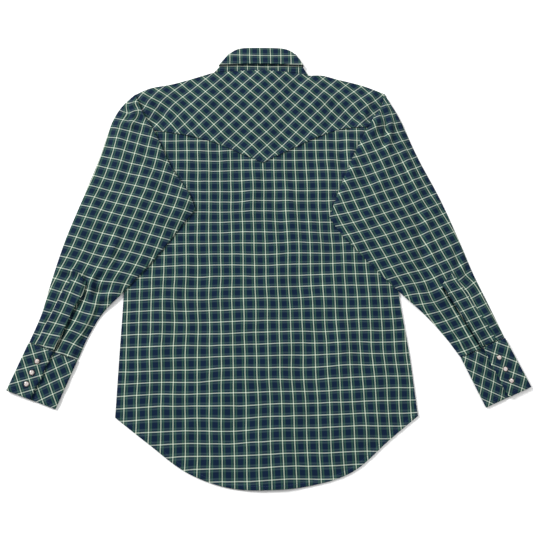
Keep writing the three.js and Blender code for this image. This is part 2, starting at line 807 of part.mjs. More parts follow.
// A geometry as a solid, with the points that share a place merged
function solidOf(geometry) {
  const source = geometry.index ? geometry.toNonIndexed() : geometry;
  const position = source.getAttribute("position");
  const places = new Map();
  const vertProperties = [];
  const triVerts = [];
  for (let i = 0; i < position.count; i++) {
    const point = [position.getX(i), position.getY(i), position.getZ(i)];
    const key = point.map((value) => value.toFixed(4)).join();
    if (!places.has(key)) {
      places.set(key, places.size);
      vertProperties.push(...point);
    }
    triVerts.push(places.get(key));
  }
  return new wasm.Manifold(
    new wasm.Mesh({
      numProp: 3,
      vertProperties: new Float32Array(vertProperties),
      triVerts: new Uint32Array(triVerts),
    }),
  );
}

function geometryOf(solid) {
  const mesh = solid.getMesh();
  const geometry = new THREE.BufferGeometry();
  geometry.setAttribute("position", new THREE.BufferAttribute(mesh.vertProperties, 3));
  geometry.setIndex(new THREE.BufferAttribute(mesh.triVerts, 1));
  return geometry;
}

// Assembly

const shirting = () => new THREE.MeshStandardMaterial({ color: "#2b4150", roughness: 0.9 });
const bias = () => new THREE.MeshStandardMaterial({ color: "#30485a", roughness: 0.9 });
const pearl = () => new THREE.MeshStandardMaterial({ color: "#e9dfda", roughness: 0.25, metalness: 0.1 });

const shirt = new THREE.Group();
shirt.name = "western_snap_shirt";

function add(name, geometry, material) {
  const mesh = new THREE.Mesh(geometry, material);
  mesh.name = name;
  shirt.add(mesh);
  return mesh;
}

// The left front has a hole for each snap, and the snaps sit flush in them
function addLeftFront() {
  let panelSolid = solidOf(front(-1));
  const { top, pitch, count, thickness, clearance, holeDepth } = FRONT_SNAP;
  for (let i = 0; i < count; i++) {
    const y = top - i * pitch;
    const low = collarRaise(CENTRE_X, y);
    const hole = disc(SNAP.radius + clearance, holeDepth).translate(CENTRE_X, y, low);
    panelSolid = panelSolid.subtract(solidOf(hole));
    const snap = add("front_snap_" + (i + 1), disc(SNAP.radius, thickness), pearl());
    snap.position.set(CENTRE_X, y, low + thickness / 2);
  }
  add("front_left", geometryOf(panelSolid), shirting());
}

// The snaps stand in a row along the over-lap's middle
function addCuff(side, corners) {
  add("cuff_" + side, cuff(corners), bias());
  for (let i = 0; i < CUFF_SNAP.count; i++) {
    const down = CUFF_SNAP.first + i * CUFF_SNAP.step;
    const corner = (name) => vector(corners[name].x, corners[name].y);
    const outer = mix(corner("seamOuter"), corner("endOuter"), down);
    const inner = mix(corner("seamInner"), corner("endInner"), down);
    const snap = add("cuff_snap_" + side + "_" + (i + 1), cuffSnap(), pearl());
    snap.position.copy(mix(outer, inner, CUFF_SNAP.share)).setZ(CUFF.overLap + GAP);
  }
}

addLeftFront();
add("front_right", front(1), shirting());
add("back_panel", backPanel(), shirting());
add("back_yoke", backYoke(), bias());
add("collar_stand", collarPiece(STAND_SEAM, STAND_TOP, CLOTH, 0), shirting());
add("collar_leaf", collarPiece(LEAF_ROLL, LEAF_EDGE, COLLAR_CLOTH, LEAF_CROWN), shirting());

const leftForm = sleeveForm(SLEEVE_LEFT, HEAD_LEFT, SLEEVE_LEFT_FOLDS);
const rightForm = sleeveForm(SLEEVE_RIGHT, HEAD_RIGHT, SLEEVE_RIGHT_FOLDS);
add("sleeve_left", sleeve(leftForm), shirting());
add("sleeve_right", sleeve(rightForm), shirting());
add("placket_left", placket(leftForm, PLACKET.leftSlit), shirting());
add("placket_right", placket(rightForm, PLACKET.rightSlit), shirting());
addCuff("left", CUFF_LEFT);
addCuff("right", CUFF_RIGHT);

export default shirt;
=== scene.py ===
"""A western snap shirt of plaid cotton, laid flat with its back up on a pale studio floor.

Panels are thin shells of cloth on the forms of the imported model. Tables and heights are in
millimetres of the shirt's own frame: +X to the wearer's right, +Y to the collar, +Z up.
"""

import math
from collections import namedtuple

import bpy
import numpy as np
from bpy.props import FloatProperty, FloatVectorProperty, IntProperty, PointerProperty
from mathutils import Matrix, Vector


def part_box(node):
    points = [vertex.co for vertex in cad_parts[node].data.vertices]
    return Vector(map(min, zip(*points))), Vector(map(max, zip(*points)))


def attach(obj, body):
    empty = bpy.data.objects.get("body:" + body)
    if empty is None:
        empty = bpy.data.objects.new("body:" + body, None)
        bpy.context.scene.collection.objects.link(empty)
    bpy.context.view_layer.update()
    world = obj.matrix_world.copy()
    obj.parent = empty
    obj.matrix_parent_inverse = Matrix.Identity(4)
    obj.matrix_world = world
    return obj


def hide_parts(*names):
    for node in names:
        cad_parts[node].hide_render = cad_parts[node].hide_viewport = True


bl_info = {
    "name": "Western Snap Shirt",
    "version": (1, 0, 0),
    "blender": (4, 5, 0),
    "location": "3D View > Sidebar > Shirt",
    "description": "Builds a plaid western shirt laid flat, with its sewing, its pearl snaps and a small studio",
    "category": "Object",
}

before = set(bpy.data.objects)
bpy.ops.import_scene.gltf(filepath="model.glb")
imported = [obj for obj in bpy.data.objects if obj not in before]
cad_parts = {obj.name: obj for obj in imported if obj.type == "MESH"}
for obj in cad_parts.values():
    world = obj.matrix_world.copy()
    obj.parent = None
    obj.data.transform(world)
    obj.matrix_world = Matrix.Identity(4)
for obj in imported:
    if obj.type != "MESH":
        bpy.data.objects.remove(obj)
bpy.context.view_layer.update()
MM = 0.001

# The photograph's camera: where it stands, which way it looks, and its focal length for 533 pixels
CAMERA_PLACE = (-0.070, -0.290, 1.014)
CAMERA_FORWARD = (0.058, 0.243, -0.968)
CAMERA_UP = (0.014, 0.970, 0.245)
FOCAL_PIXELS = 560.0
PICTURE_PIXELS = 533.0
SENSOR_WIDTH = 36.0

# The studio, in metres: half the floor's side and its level, and each light's place and width
FLOOR_HALF = 6.0
FLOOR_LEVEL = -0.0003
KEY_LIGHT = ((-4.0, 2.8, 3.0), 1.8)
FILL_LIGHT = ((1.6, 0.9, 1.8), 1.2)

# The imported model's cloth, in mm: the plies' pitch, the lofts, and the lap of the fronts
CLOTH = 1.2
GAP = 0.3
PLY = CLOTH + GAP
BODY_LOFT = 2.0
LOFT_REACH = 90.0
SHOULDER_REACH = 50.0
LOFT_SHARE_POWER = 0.4
BODY_MIDDLE_X = -14.0
BODY_HALF = 258.0
HEM_LOW = 428.0
HEM_RISE = 127.0
HEM_HALF = 264.0
SHOULDER_HIGH = 385.0
SHOULDER_SLOPE = 0.24
CREASE_GAIN = 1.25
SLEEVE_LOFT = 2.8
SLEEVE_DROP_LEFT = -286.0
SLEEVE_DROP_RIGHT = 260.0
SLEEVE_DROP = 30.0
CENTRE_X = -10.0
LAP = 16.0
LAP_RAISE = 1.8
LAP_RAMP = 26.0
RIDGE_TOP = 22.0
RIDGE_FOOT = 60.0
COLLAR_RAISE = 1.8
COLLAR_BED_LEFT = -102.0
COLLAR_BED_RIGHT = 86.0
COLLAR_BED_LOW = 226.0
COLLAR_BED_FADE = 60.0
WRAP_RADIUS = (PLY + CLOTH) / 2
SHOULDER_WRAP = 28.0
YOKE_LAP = 7.0
NECK_AT = 0.3
NECK_START = 0.84
NECK_GAP = 0.5

# Outlines, as x, y in mm
HEM = [
    (-278, -301), (-223, -344), (-154, -395), (-81, -422), (-14, -427),
    (53, -423), (128, -403), (199, -351), (252, -313),
]
SIDE_LEFT = [(-278, -301), (-275, -207), (-271, -93), (-268, 75)]
ARMHOLE_LEFT = [(-268, 75), (-255, 130), (-249, 190), (-252, 245)]
SIDE_RIGHT = [(252, -313), (246, -200), (237, -102), (234, 60)]
ARMHOLE_RIGHT = [(234, 60), (224, 120), (222, 185), (232, 250)]
YOKE_END_LEFT = [(-252, 245), (-257, 285), (-264, 320)]
YOKE_END_RIGHT = [(232, 250), (239, 292), (245, 324)]
YOKE_POINT_LEFT = [(-252, 245), (-189, 236), (-117, 219), (-69, 198), (-11, 171)]
YOKE_POINT_RIGHT = [(-11, 171), (38, 196), (105, 228), (150, 244), (232, 250)]
SHOULDER_LEFT = [(-264, 320), (-234, 335), (-189, 345), (-150, 357), (-105, 371.4)]
SHOULDER_RIGHT = [(88, 365.4), (117, 366), (147, 358), (200, 343), (245, 324)]

# Sleeves: sections from head to cuff as outer x, y and inner x, y; the head's seam; a pale warp
# line that the grain follows; the weft's angle; how the weft bows; and the slit's share of the
# width at distances from the cuff
Sleeve = namedtuple("Sleeve", "outer inner head grain weft bow slit lip")
SLEEVES = {
    "left": Sleeve(
        outer=[
            (-261.0, 319.5), (-284, 296.5), (-303, 264), (-328, 178), (-356, 95), (-383, 14), (-402, -60),
            (-415, -118), (-433, -168)
        ],
        inner=[
            (-141, 76), (-166, 44), (-195, 6), (-228, -34), (-270, -80), (-307, -119), (-330, -159),
            (-347, -201)
        ],
        head=[(-261.0, 319.5), (-243, 274), (-222, 238), (-188, 163), (-155, 110), (-141, 76)],
        grain=[(-228, 225), (-238, 182), (-256, 120), (-280, 60), (-302, 2), (-318, -36)],
        weft=-17.0,
        bow=0.0,
        slit=[(0, 0.52), (28, 0.53), (54, 0.55), (76, 0.558), (92, 0.572), (114, 0.6), (136, 0.54)],
        lip=-1.6,
    ),
    "right": Sleeve(
        outer=[
            (241.8, 321.8), (267, 272), (301, 178), (335, 95), (362, 14), (384, -58), (407, -120), (428, -178)
        ],
        inner=[
            (113, 57), (136, 22), (166, -13), (203, -54), (246, -98), (286, -137), (318, -177), (341, -212)
        ],
        head=[(241.8, 321.8), (233, 294), (211, 263), (181, 211), (138, 120), (113, 57)],
        grain=[(240, 183), (255, 143), (271, 103), (299, 46), (327, -14), (346, -53)],
        weft=22.0,
        bow=0.0006,
        slit=[(0, 0.555), (60, 0.556), (136, 0.545)],
        lip=4.0,
    ),
}
HEAD_BRIDGE = 2.2
HEAD_BRIDGE_REACH = 16.0
SLEEVE_FOLD = 2.2
FOREARM = 170.0
FOREARM_FADE = 60.0
FOREARM_GAIN = 0.35
SLIT_WIDTH = 4.2
SLEEVE_COLUMNS = 64
SLIT_COLUMN = 35
SLIT_CELLS = (-1, 0, 1)
PLACKET_WIDTH = 34.0
PLACKET_LENGTH = 136.0
PLACKET_END = 0.995
PLACKET_LIFT = 0.5
PLACKET_OPENING = 2.4
PLACKET_SHIFT = (6.0, 5.0)

# Cuffs: the seam's two ends and the lower edge's two ends, outer side first
Cuff = namedtuple("Cuff", "seam_outer seam_inner end_outer end_inner")
CUFFS = {
    "left": Cuff((-433.2, -168.6), (-347.2, -201.6), (-465, -250), (-380, -284)),
    "right": Cuff((428.2, -178.6), (341.2, -212.6), (465, -268), (377, -302)),
}
CUFF_CLOTH = 1.0
CUFF_DEPTH = 88.0
CUFF_LAP = 0.515
CUFF_UNDER_LAP = 12.0
CUFF_TOP_WALL = 3.8
CUFF_OVER_LAP = 5.7
CUFF_LAP_ROWS = 14
CUFF_UNDER_ROWS = 15
CUFF_LAP_WAVE = 1.5
CUFF_WAVE_SEEDS = {"left": 53, "right": 54}
CUFF_OPENING = {"left": 0.5, "right": 1.3}

# Collar rings: the fold at left and right, the back run's middle, the front runs' ends, and heights
Ring = namedtuple("Ring", "left right mid corner end_left end_right bow top under")
STAND_SEAM = Ring((-104, 372.2), (87.2, 366.2), 375.4, 2.4, (-10.4, 290), (-9.6, 290), 2.4, 4.5, 1.8)
STAND_TOP = Ring((-69, 413), (62, 412), 423.5, 4, (-10.4, 322), (-9.6, 322), 2.4, 5.5, 1.8)
LEAF_ROLL = Ring((-75, 413.5), (65, 413), 427, 5, (-14, 325), (-6, 325), 2.4, 7.4, 0)
LEAF_EDGE = Ring((-95.5, 386.5), (79, 386.5), 389, 2, (-54, 256), (34, 256), 1.3, 7.2, 0)
LEAF_CROWN = 1.2
LEAF_LIFT = 2.2
LEAF_CLOTH = 1.1
STAND_CLOTH = 1.0
COLLAR_BACK = slice(31, -31)

# Snaps down the front, and the sides of the round holes that they sit in
FRONT_SNAP_COUNT = 7
HOLE_SIDES = 32
HOLE_REACH = 4.0

# Soft ridges and troughs: a point, the angle from +X, length, width and height, how the crease
# bends over its length, and how much steeper one side is
Crease = namedtuple("Crease", "x y angle length width height bend side", defaults=(0.0, 0.0))
BACK_CREASES = [
    Crease(20, 45, 94, 190, 10, -2.2, 6),
    Crease(44, 60, 96, 200, 13, 2.2, 6, 0.3),
    Crease(-30, 105, 84, 130, 12, 1.8, -5, 0.3),
    Crease(146, 190, 97, 130, 9, -2.0, 8, 0.3),
    Crease(166, 190, 98, 130, 11, 2.2, 8, 0.4),
    Crease(-165, -60, 72, 190, 16, 2.0, 10, 0.2),
    Crease(120, -150, 103, 220, 17, 2.0, -12, 0.3),
    Crease(-70, -230, 82, 200, 18, 1.8, 8, 0.2),
    Crease(-90, 300, 155, 90, 12, 1.8, 4, 0.2),
    Crease(120, 310, 25, 90, 12, 2.0, -4, 0.2),
    Crease(-14, 150, 60, 46, 6, 1.2, 3, 0.3),
    Crease(6, 152, 118, 40, 6, 1.0, -3, 0.3),
    Crease(-120, 150, 80, 70, 8, 1.2, 4, 0.3),
    Crease(88, 20, 100, 110, 10, 1.3, 5, 0.3),
    Crease(-205, -150, 95, 130, 11, 1.3, -6, 0.3),
    Crease(190, -60, 84, 120, 11, 1.3, 6, 0.3),
    Crease(40, -290, 98, 120, 13, 1.3, 5, 0.2),
    Crease(-150, -320, 60, 90, 11, 1.2, 4, 0.2),
    Crease(-228, 300, 128, 80, 7, 3.6, 6, 0.4),
    Crease(-212, 282, 122, 70, 6, -3.4, 4, 0.3),
    Crease(206, 300, 60, 80, 7, 3.6, -6, 0.4),
    Crease(193, 282, 55, 60, 6, -3.2, 4, 0.3),
    Crease(207, 266, 60, 34, 5, -3.6, 3),
    Crease(-238, 276, 128, 44, 4.5, 3.8, 3, 0.4),
    Crease(-230, 264, 122, 48, 4, -3.8, 3),
    Crease(-70, 352, 118, 50, 8, -1.6, 3, 0.3),
    Crease(66, 350, 62, 60, 8, -1.8, 3, 0.3),
]
SLEEVE_CREASES = {
    "left": [
        # Gathered cloth at the shoulder
        Crease(-263, 297, 12, 36, 5, 4.2, 3, 0.3),
        Crease(-251, 288, 124, 32, 4.5, 3.6, 2, 0.3),
        Crease(-262, 289, 4, 24, 4.5, -3.4),
        Crease(-262, 281, 0, 28, 4, 2.4, -2, 0.3),
        Crease(-272, 272, 88, 46, 4.5, -3.0, 2),
        Crease(-264, 262, 86, 60, 6, 2.6, 3, 0.4),
        Crease(-246, 254, 112, 44, 6, -2.6, 3),
        Crease(-236, 246, 118, 50, 6, 2.6, 3, 0.4),
        # Long soft folds down to the elbow
        Crease(-285, 215, 108, 120, 12, 2.4, 8, 0.3),
        Crease(-248, 180, 104, 130, 12, 2.0, -6, 0.3),
        Crease(-222, 130, 112, 120, 10, 1.8, 5, 0.3),
        Crease(-330, 90, 108, 130, 11, 2.0, 6, 0.3),
        Crease(-205, 60, 128, 90, 9, 1.8, 4, 0.3),
        Crease(-296, 110, 104, 110, 9, -1.6, -5, 0.3),
        Crease(-292, -5, 68, 110, 8, 3.0, 10, 0.5),
        Crease(-280, -22, 62, 60, 6, -2.6, 5, 0.3),
        # Folds over the placket's top and beside the slit
        Crease(-338, -66, 92, 56, 5, -3.8, 2),
        Crease(-327, -70, 84, 60, 5.5, 3.8, -3, 0.4),
        Crease(-312, -52, 38, 46, 5, -3.4, 3),
        Crease(-300, -44, 48, 60, 7, 3.0, 4, 0.4),
        Crease(-304, -76, 18, 50, 5, -3.0, 3),
        Crease(-300, -92, 24, 50, 6, 2.4, 3, 0.4),
        Crease(-372, -48, 172, 60, 6, -2.4, 3),
        Crease(-366, -38, 170, 70, 7, 2.2, 3, 0.4),
        Crease(-328, -128, 62, 110, 6, 2.8, -6, 0.4),
        Crease(-341, -170, 56, 70, 5, -3.2, -3),
        Crease(-333, -166, 58, 64, 5, 2.6, -3, 0.4),
        Crease(-316, -112, 66, 70, 5, -2.4, -3),
        Crease(-350, -184, 66, 44, 4.5, 2.4, 2, 0.4),
        Crease(-412, -120, 108, 80, 7, 2.2, 4, 0.3),
        Crease(-420, -150, 112, 44, 5, -2.0, 2),
    ],
    "right": [
        # Gathered cloth at the shoulder
        Crease(244, 290, 118, 38, 5, 4.0, 3, 0.4),
        Crease(234, 282, 100, 32, 4.5, -3.6, 2),
        Crease(226, 274, 70, 34, 5, 3.2, 3, 0.4),
        Crease(236, 238, 79, 104, 4.5, -4.2, 4),
        Crease(247, 238, 81, 124, 7, 4.0, 5, 0.5),
        Crease(216, 244, 66, 60, 6, 2.8, 3, 0.4),
        Crease(206, 236, 64, 60, 5, -2.4, 3),
        # Long folds down to the elbow
        Crease(268, 160, 101, 180, 7, -3.4, 5),
        Crease(281, 160, 101, 190, 10, 3.0, 5, 0.4),
        Crease(290, 10, 94, 190, 8, -3.4, -5),
        Crease(303, 10, 94, 200, 10, 3.0, -5, 0.4),
        Crease(222, 140, 72, 120, 10, 2.0, 5, 0.3),
        Crease(190, 60, 58, 110, 9, 2.0, -5, 0.3),
        Crease(330, 90, 72, 110, 10, 1.8, -5, 0.3),
        Crease(250, -40, 130, 90, 8, 2.6, 6, 0.4),
        Crease(262, -62, 128, 60, 6, -2.4, 4),
        Crease(356, -18, 96, 64, 5, -3.4, 3),
        Crease(365, -20, 98, 70, 5.5, 3.0, 3, 0.4),
        # Folds beside the slit and over the placket's outer corner
        Crease(303, -102, 122, 66, 6, -3.6, -3),
        Crease(316, -98, 119, 70, 5, 3.8, -2, 0.4),
        Crease(292, -118, 128, 60, 6, 2.4, -3, 0.4),
        Crease(384, -80, 118, 54, 5, -3.6, 2),
        Crease(393, -88, 116, 60, 5, 3.0, 2, 0.4),
        Crease(372, -56, 74, 40, 5, -2.8, 2),
        Crease(327, -184, 134, 66, 5, -3.4, -3),
        Crease(335, -177, 132, 70, 5.5, 3.0, -3, 0.4),
        Crease(312, -160, 140, 50, 5, 2.2, -3, 0.4),
        Crease(352, -192, 124, 44, 4.5, 2.2, 2, 0.4),
        Crease(404, -140, 114, 70, 7, 2.2, 4, 0.3),
    ],
}
CUFF_CREASES = {
    "left": [Crease(-400, -228, 40, 70, 9, 0.8, 3), Crease(-382, -256, 62, 60, 7, 0.7, 3)],
    "right": [
        Crease(366, -232, 124, 60, 8, 1.3, 3), Crease(380, -258, 128, 90, 6, -1.0, 4),
        Crease(396, -270, 122, 70, 8, 0.9, 3), Crease(420, -212, 60, 50, 8, 0.6, 3),
    ],
}

# Where a pale warp line meets a pale weft line on each panel, and how the cloth lies there
Grain = namedtuple("Grain", "x y turn")
BODY_GRAIN = Grain(-11.0, -138.4, 0.0)
YOKE_GRAIN = Grain(-2.4, 207.5, 45.0)
LEAF_GRAIN = Grain(-10.4, 408.5, 0.0)
STAND_GRAIN = Grain(-15.7, 385.3, 0.0)


# Places where the cloth is dragged round: the turn against the clock, and how far it reaches
Swirl = namedtuple("Swirl", "x y turn reach")
YOKE_SWIRLS = [Swirl(-232, 296, 15, 62), Swirl(206, 300, -12, 60)]
SLEEVE_SWIRLS = {
    "left": [Swirl(-262, 288, 48, 20), Swirl(-300, -95, 18, 44), Swirl(-345, -165, -12, 32)],
    "right": [Swirl(238, 262, -14, 42), Swirl(276, -100, -12, 40), Swirl(368, -70, 16, 26)],
}


# The cuffs' plaid on the lap and under it: a crossing of pale lines, and one repeat each way
Bias = namedtuple("Bias", "x y weft_x weft_y warp_x warp_y")
CUFF_BIAS = {
    "left": (Bias(-422.6, -188.7, 18.5, 4.9, 7.1, -18.9), Bias(-382.6, -214.2, 17.9, 8.1, 7.6, -18.1)),
    "right": (Bias(403.0, -207.0, 19.5, -8.0, -7.8, -19.6), Bias(366.6, -222.0, 17.5, -8.6, -6.0, -17.9)),
}


def linear(hex_colour):
    """The linear values of an sRGB colour written as hex."""
    parts = [int(hex_colour[i : i + 2], 16) / 255 for i in (1, 3, 5)]
    return tuple(c / 12.92 if c <= 0.04045 else ((c + 0.055) / 1.055) ** 2.4 for c in parts)


def length_property(name, description, default, low=0.0, high=1.0):
    """A length in metres with its limits."""
    return FloatProperty(
        name=name, description=description, default=default, min=low, max=high, unit="LENGTH", precision=5
    )


def colour_property(name, description, hex_colour):
    """A colour whose default is written as sRGB hex."""
    return FloatVectorProperty(
        name=name, description=description, default=linear(hex_colour), size=3, min=0.0, max=1.0, subtype="COLOR"
    )


class ShirtSizes(bpy.types.PropertyGroup):
    """Sizes of the cloth and its sewing."""

    cloth: length_property("Cloth", "Thickness of the shirting", 0.9 * MM, 0.2 * MM, 3 * MM)
    step: length_property(
        "Mesh step", "Distance between points of the large panels", 3.2 * MM, 1 * MM, 20 * MM
    )
    rumple: length_property("Rumple", "Height of the soft unevenness of laid cloth", 1.1 * MM, 0, 3 * MM)
    pucker: length_property("Pucker", "Height of the small waves along sewn seams", 0.8 * MM, 0, 2 * MM)
    hem: length_property("Hem", "Depth of the turned hem", 6.5 * MM, 2 * MM, 20 * MM)
    stitch: length_property("Stitch", "Distance from one stitch to the next", 2.8 * MM, 1 * MM, 8 * MM)
    thread: length_property("Thread", "Thickness of the sewing thread", 0.42 * MM, 0.1 * MM, 1 * MM)


class ShirtPlaid(bpy.types.PropertyGroup):
    """The plaid's repeat and its yarn colours."""

    repeat: length_property("Repeat", "Distance between pale lines", 21 * MM, 2 * MM, 0.2)
    weave: length_property(
        "Weave", "Distance between threads, drawn coarser than real", 0.9 * MM, 0.2 * MM, 4 * MM
    )
    warp_line: colour_property("Warp line", "Pale line along the grain", "#d9e6cc")
    weft_line: colour_property("Weft line", "Pale line across the grain", "#d2dccf")
    warp_side: colour_property("Warp side", "Thin line beside the pale warp line", "#3d5f4a")
    weft_side: colour_property("Weft side", "Thin line beside the pale weft line", "#3f5156")
    warp_band: colour_property("Warp band", "Green band beside the pale warp line", "#133c33")
    weft_band: colour_property("Weft band", "Green band beside the pale weft line", "#183439")
    ground: colour_property("Ground", "Navy ground of the plaid", "#071b33")
    thread: colour_property("Thread", "Colour of the sewing thread", "#22305a")


class ShirtSnaps(bpy.types.PropertyGroup):
    """The pearl snaps."""

    pearl: colour_property("Pearl", "Colour of the pearl cap", "#ddd3ce")
    # The ring's grey is the snap's own dark metal, darkened further to paint the shadow and dark reflection
    # round each snap
    ring: colour_property("Ring", "Colour of the metal ring", "#4e4946")
    sides: IntProperty(name="Sides", description="Number of points round a snap", default=40, min=12, max=128)


class ShirtStudio(bpy.types.PropertyGroup):
    """The floor and the light."""

    floor: colour_property("Floor", "Colour of the floor", "#fbfbfb")
    key: FloatProperty(
        name="Key light", description="Power of the large soft light", default=440.0, min=0, subtype="POWER"
    )
    fill: FloatProperty(
        name="Fill light",
        description="Power of the light from the other side",
        default=18.0,
        min=0,
        subtype="POWER"
    )
    sky: FloatProperty(
        name="Sky", description="Strength of the even light from all round", default=0.52, min=0
    )


# Curves and plans


def spline(points, per_span=40):
    """Dense points of a centripetal Catmull-Rom curve through given points."""
    p = np.array(points, float)
    p = np.vstack([2 * p[0] - p[1], p, 2 * p[-1] - p[-2]])
    knots = np.concatenate([[0], np.cumsum(np.linalg.norm(np.diff(p, axis=0), axis=1) ** 0.5)])
    dense = []
    for i in range(len(p) - 3):
        a, b, c, d = p[i : i + 4]
        ta, tb, tc, td = knots[i : i + 4]
        t = np.linspace(tb, tc, per_span, endpoint=False)[:, None]
        ab = ((tb - t) * a + (t - ta) * b) / (tb - ta)
        bc = ((tc - t) * b + (t - tb) * c) / (tc - tb)
        cd = ((td - t) * c + (t - tc) * d) / (td - tc)
        abc = ((tc - t) * ab + (t - ta) * bc) / (tc - ta)
        bcd = ((td - t) * bc + (t - tb) * cd) / (td - tb)
        dense.append(((tc - t) * abc + (t - tb) * bcd) / (tc - tb))
    return np.vstack([*dense, p[-2:-1]])


def smooth(points):
    """A curve through the points, by its share of the length."""
    dense = spline(points)
    run = np.concatenate([[0], np.cumsum(np.linalg.norm(np.diff(dense, axis=0), axis=1))])
    run /= run[-1]
    return lambda t: np.stack([np.interp(t, run, dense[:, k]) for k in (0, 1)], axis=-1)


def edge(*stretches):
    """Several curves with corners between them, each up to its own share."""

    def at(t):
        t = np.asarray(t, float)
        found = np.zeros(t.shape + (2,))
        start = 0.0
        for curve, end in stretches:
            inside = (t >= start) & (t <= end + 1e-9)
            found[inside] = curve((t[inside] - start) / (end - start))
            start = end
        return found

    return at


def patch(left, right, bottom, top):
    """The flat patch between four edges, as a function of arrays u and v."""

    def at(u, v):
        u, v = np.broadcast_arrays(np.asarray(u, float), np.asarray(v, float))
        s, t = u[..., None], v[..., None]
        corners = (
            bottom(0.0) * (1 - s) + bottom(1.0) * s
        ) * (1 - t) + (top(0.0) * (1 - s) + top(1.0) * s) * t
        return left(v) * (1 - s) + right(v) * s + bottom(u) * (1 - t) + top(u) * t - corners

    return at


def shares(length, step, insets=(0.5, 1.4)):
    """Shares of a length at an even step, with extra ones close to both ends."""
    even = np.linspace(0, 1, max(2, int(math.ceil(length / step))) + 1)
    near = np.array(insets) / length
    return np.unique(np.concatenate([even, near, 1 - near]).round(7))


def grid(us, vs):
    """Both shares as arrays over a grid."""
    return np.meshgrid(us, vs, indexing="ij")


# Heights


def clamp(value):
    """The value kept from 0 to 1."""
    return np.clip(value, 0, 1)


def ease(value):
    """A soft step from 0 to 1."""
    value = clamp(value)
    return value * value * (3 - 2 * value)


def rise(share):
    """A steep start that levels out."""
    return 1 - (1 - clamp(share)) ** 2


def waves(x, y, seed, size, angle=0.0, stretch=1.0, count=14):
    """Soft random unevenness of about -1 to 1, with its waves near the given size."""
    rng = np.random.default_rng(seed)
    turn = math.radians(angle)
    along = (x * math.cos(turn) + y * math.sin(turn)) / stretch
    across = y * math.cos(turn) - x * math.sin(turn)
    total = 0.0
    for _ in range(count):
        way, scale, phase = rng.uniform(0, math.tau), size * rng.uniform(0.7, 1.8), rng.uniform(0, math.tau)
        total = total + np.sin((along * math.cos(way) + across * math.sin(way)) * math.tau / scale + phase)
    return total / math.sqrt(2 * count)


def puckers(distance, along, seed, reach=9.0):
    """Small waves across a seam that fade away from it."""
    return np.exp(-np.abs(distance) / reach) * waves(along, 0 * along, seed, 11.0, count=8)


def creases(table, x, y):
    """The sum of a table's ridges and troughs."""
    total = np.zeros(np.shape(x))
    for row in table:
        turn = math.radians(row.angle)
        along = (x - row.x) * math.cos(turn) + (y - row.y) * math.sin(turn)
        across = (y - row.y) * math.cos(turn) - (x - row.x) * math.sin(turn)
        across = across - row.bend * (2 * along / row.length) ** 2
        width = row.width * np.where(across > 0, 1 + row.side, 1 - row.side)
        taper = clamp(1 - (2 * along / row.length) ** 2) ** 1.5
        total = total + row.height * taper * np.exp(-((across / width) ** 2))
    return total


def collar_raise(x, y):
    """The lift that the collar's front gives to what lies over it."""
    away = np.maximum.reduce([COLLAR_BED_LEFT - x, x - COLLAR_BED_RIGHT, COLLAR_BED_LOW - y, 0 * x])
    return COLLAR_RAISE * ease(1 - away / COLLAR_BED_FADE)


def body_loft(x, y):
    """The back's loft, nothing at its sides, hem and shoulders."""
    away = np.abs(x - BODY_MIDDLE_X)
    side = BODY_HALF - away
    hem = y + HEM_LOW - HEM_RISE * (away / HEM_HALF) ** 2
    shoulder = SHOULDER_HIGH - SHOULDER_SLOPE * away - y
    low = rise(side / LOFT_REACH) * rise(hem / LOFT_REACH)
    return BODY_LOFT * low * rise(shoulder / SHOULDER_REACH)


def lap_ridge(x):
    """The ridge over the lapped fronts."""
    return LAP_RAISE * ease((RIDGE_FOOT - np.abs(x - CENTRE_X)) / (RIDGE_FOOT - RIDGE_TOP))


def yoke_line(x):
    """The height up the back of the yoke's pointed edge."""
    line = np.vstack([spline(YOKE_POINT_LEFT), spline(YOKE_POINT_RIGHT)])
    return np.interp(x, line[:, 0], line[:, 1])


def hem_line(x):
    """The height up the back of the hem."""
    line = spline(HEM)
    return np.interp(x, line[:, 0], line[:, 1])


def back_under(x, y):
    """The underside of the back and yoke."""
    loft = body_loft(x, y)
    share = clamp(loft / BODY_LOFT) ** LOFT_SHARE_POWER
    rumple = bpy.context.scene.shirt_sizes.rumple / MM
    soft = 0.8 + 0.8 * waves(x, y, 3, 62.0, 90, 1.9) + 0.4 * waves(x, y, 4, 27.0, 90, 1.5)
    relief = loft + (CREASE_GAIN * creases(BACK_CREASES, x, y) + rumple * soft) * share
    return PLY + collar_raise(x, y) + lap_ridge(x) + np.maximum(0, relief)


def back_top(x, y):
    """The upper side of the back panel, with the puckers of its seams."""
    sizes = bpy.context.scene.shirt_sizes
    pucker = sizes.pucker / MM
    at_yoke = yoke_line(x) - y
    at_hem = y - hem_line(x)
    waves_on_seams = puckers(at_yoke, x, 11) + 0.8 * puckers(at_hem - sizes.hem / MM, x, 12, 7.0)
    turned = 0.5 * ease((sizes.hem / MM + 0.8 - at_hem) / 1.2)
    return back_under(x, y) + sizes.cloth / MM + pucker * waves_on_seams + turned


def yoke_lift(x, y):
    """How far the yoke's turned edge stands off the back panel that is sewn under it."""
    inside = y - yoke_line(x)
    height = 1.7 + 0.6 * waves(x, 0 * x, 14, 30.0, count=8)
    return height * (1 - ease((inside - 5) / 18))


def yoke_top(x, y):
    """The upper side of the yoke."""
    sizes = bpy.context.scene.shirt_sizes
    inside = y - yoke_line(x)
    pucker = sizes.pucker / MM * puckers(inside - 5, x, 13)
    return back_under(x, y) + yoke_lift(x, y) + sizes.cloth / MM + pucker


def body_top(x, y):
    """The upper side of whatever of the body lies there."""
    return np.where(y > yoke_line(x), yoke_top(x, y), back_top(x, y))


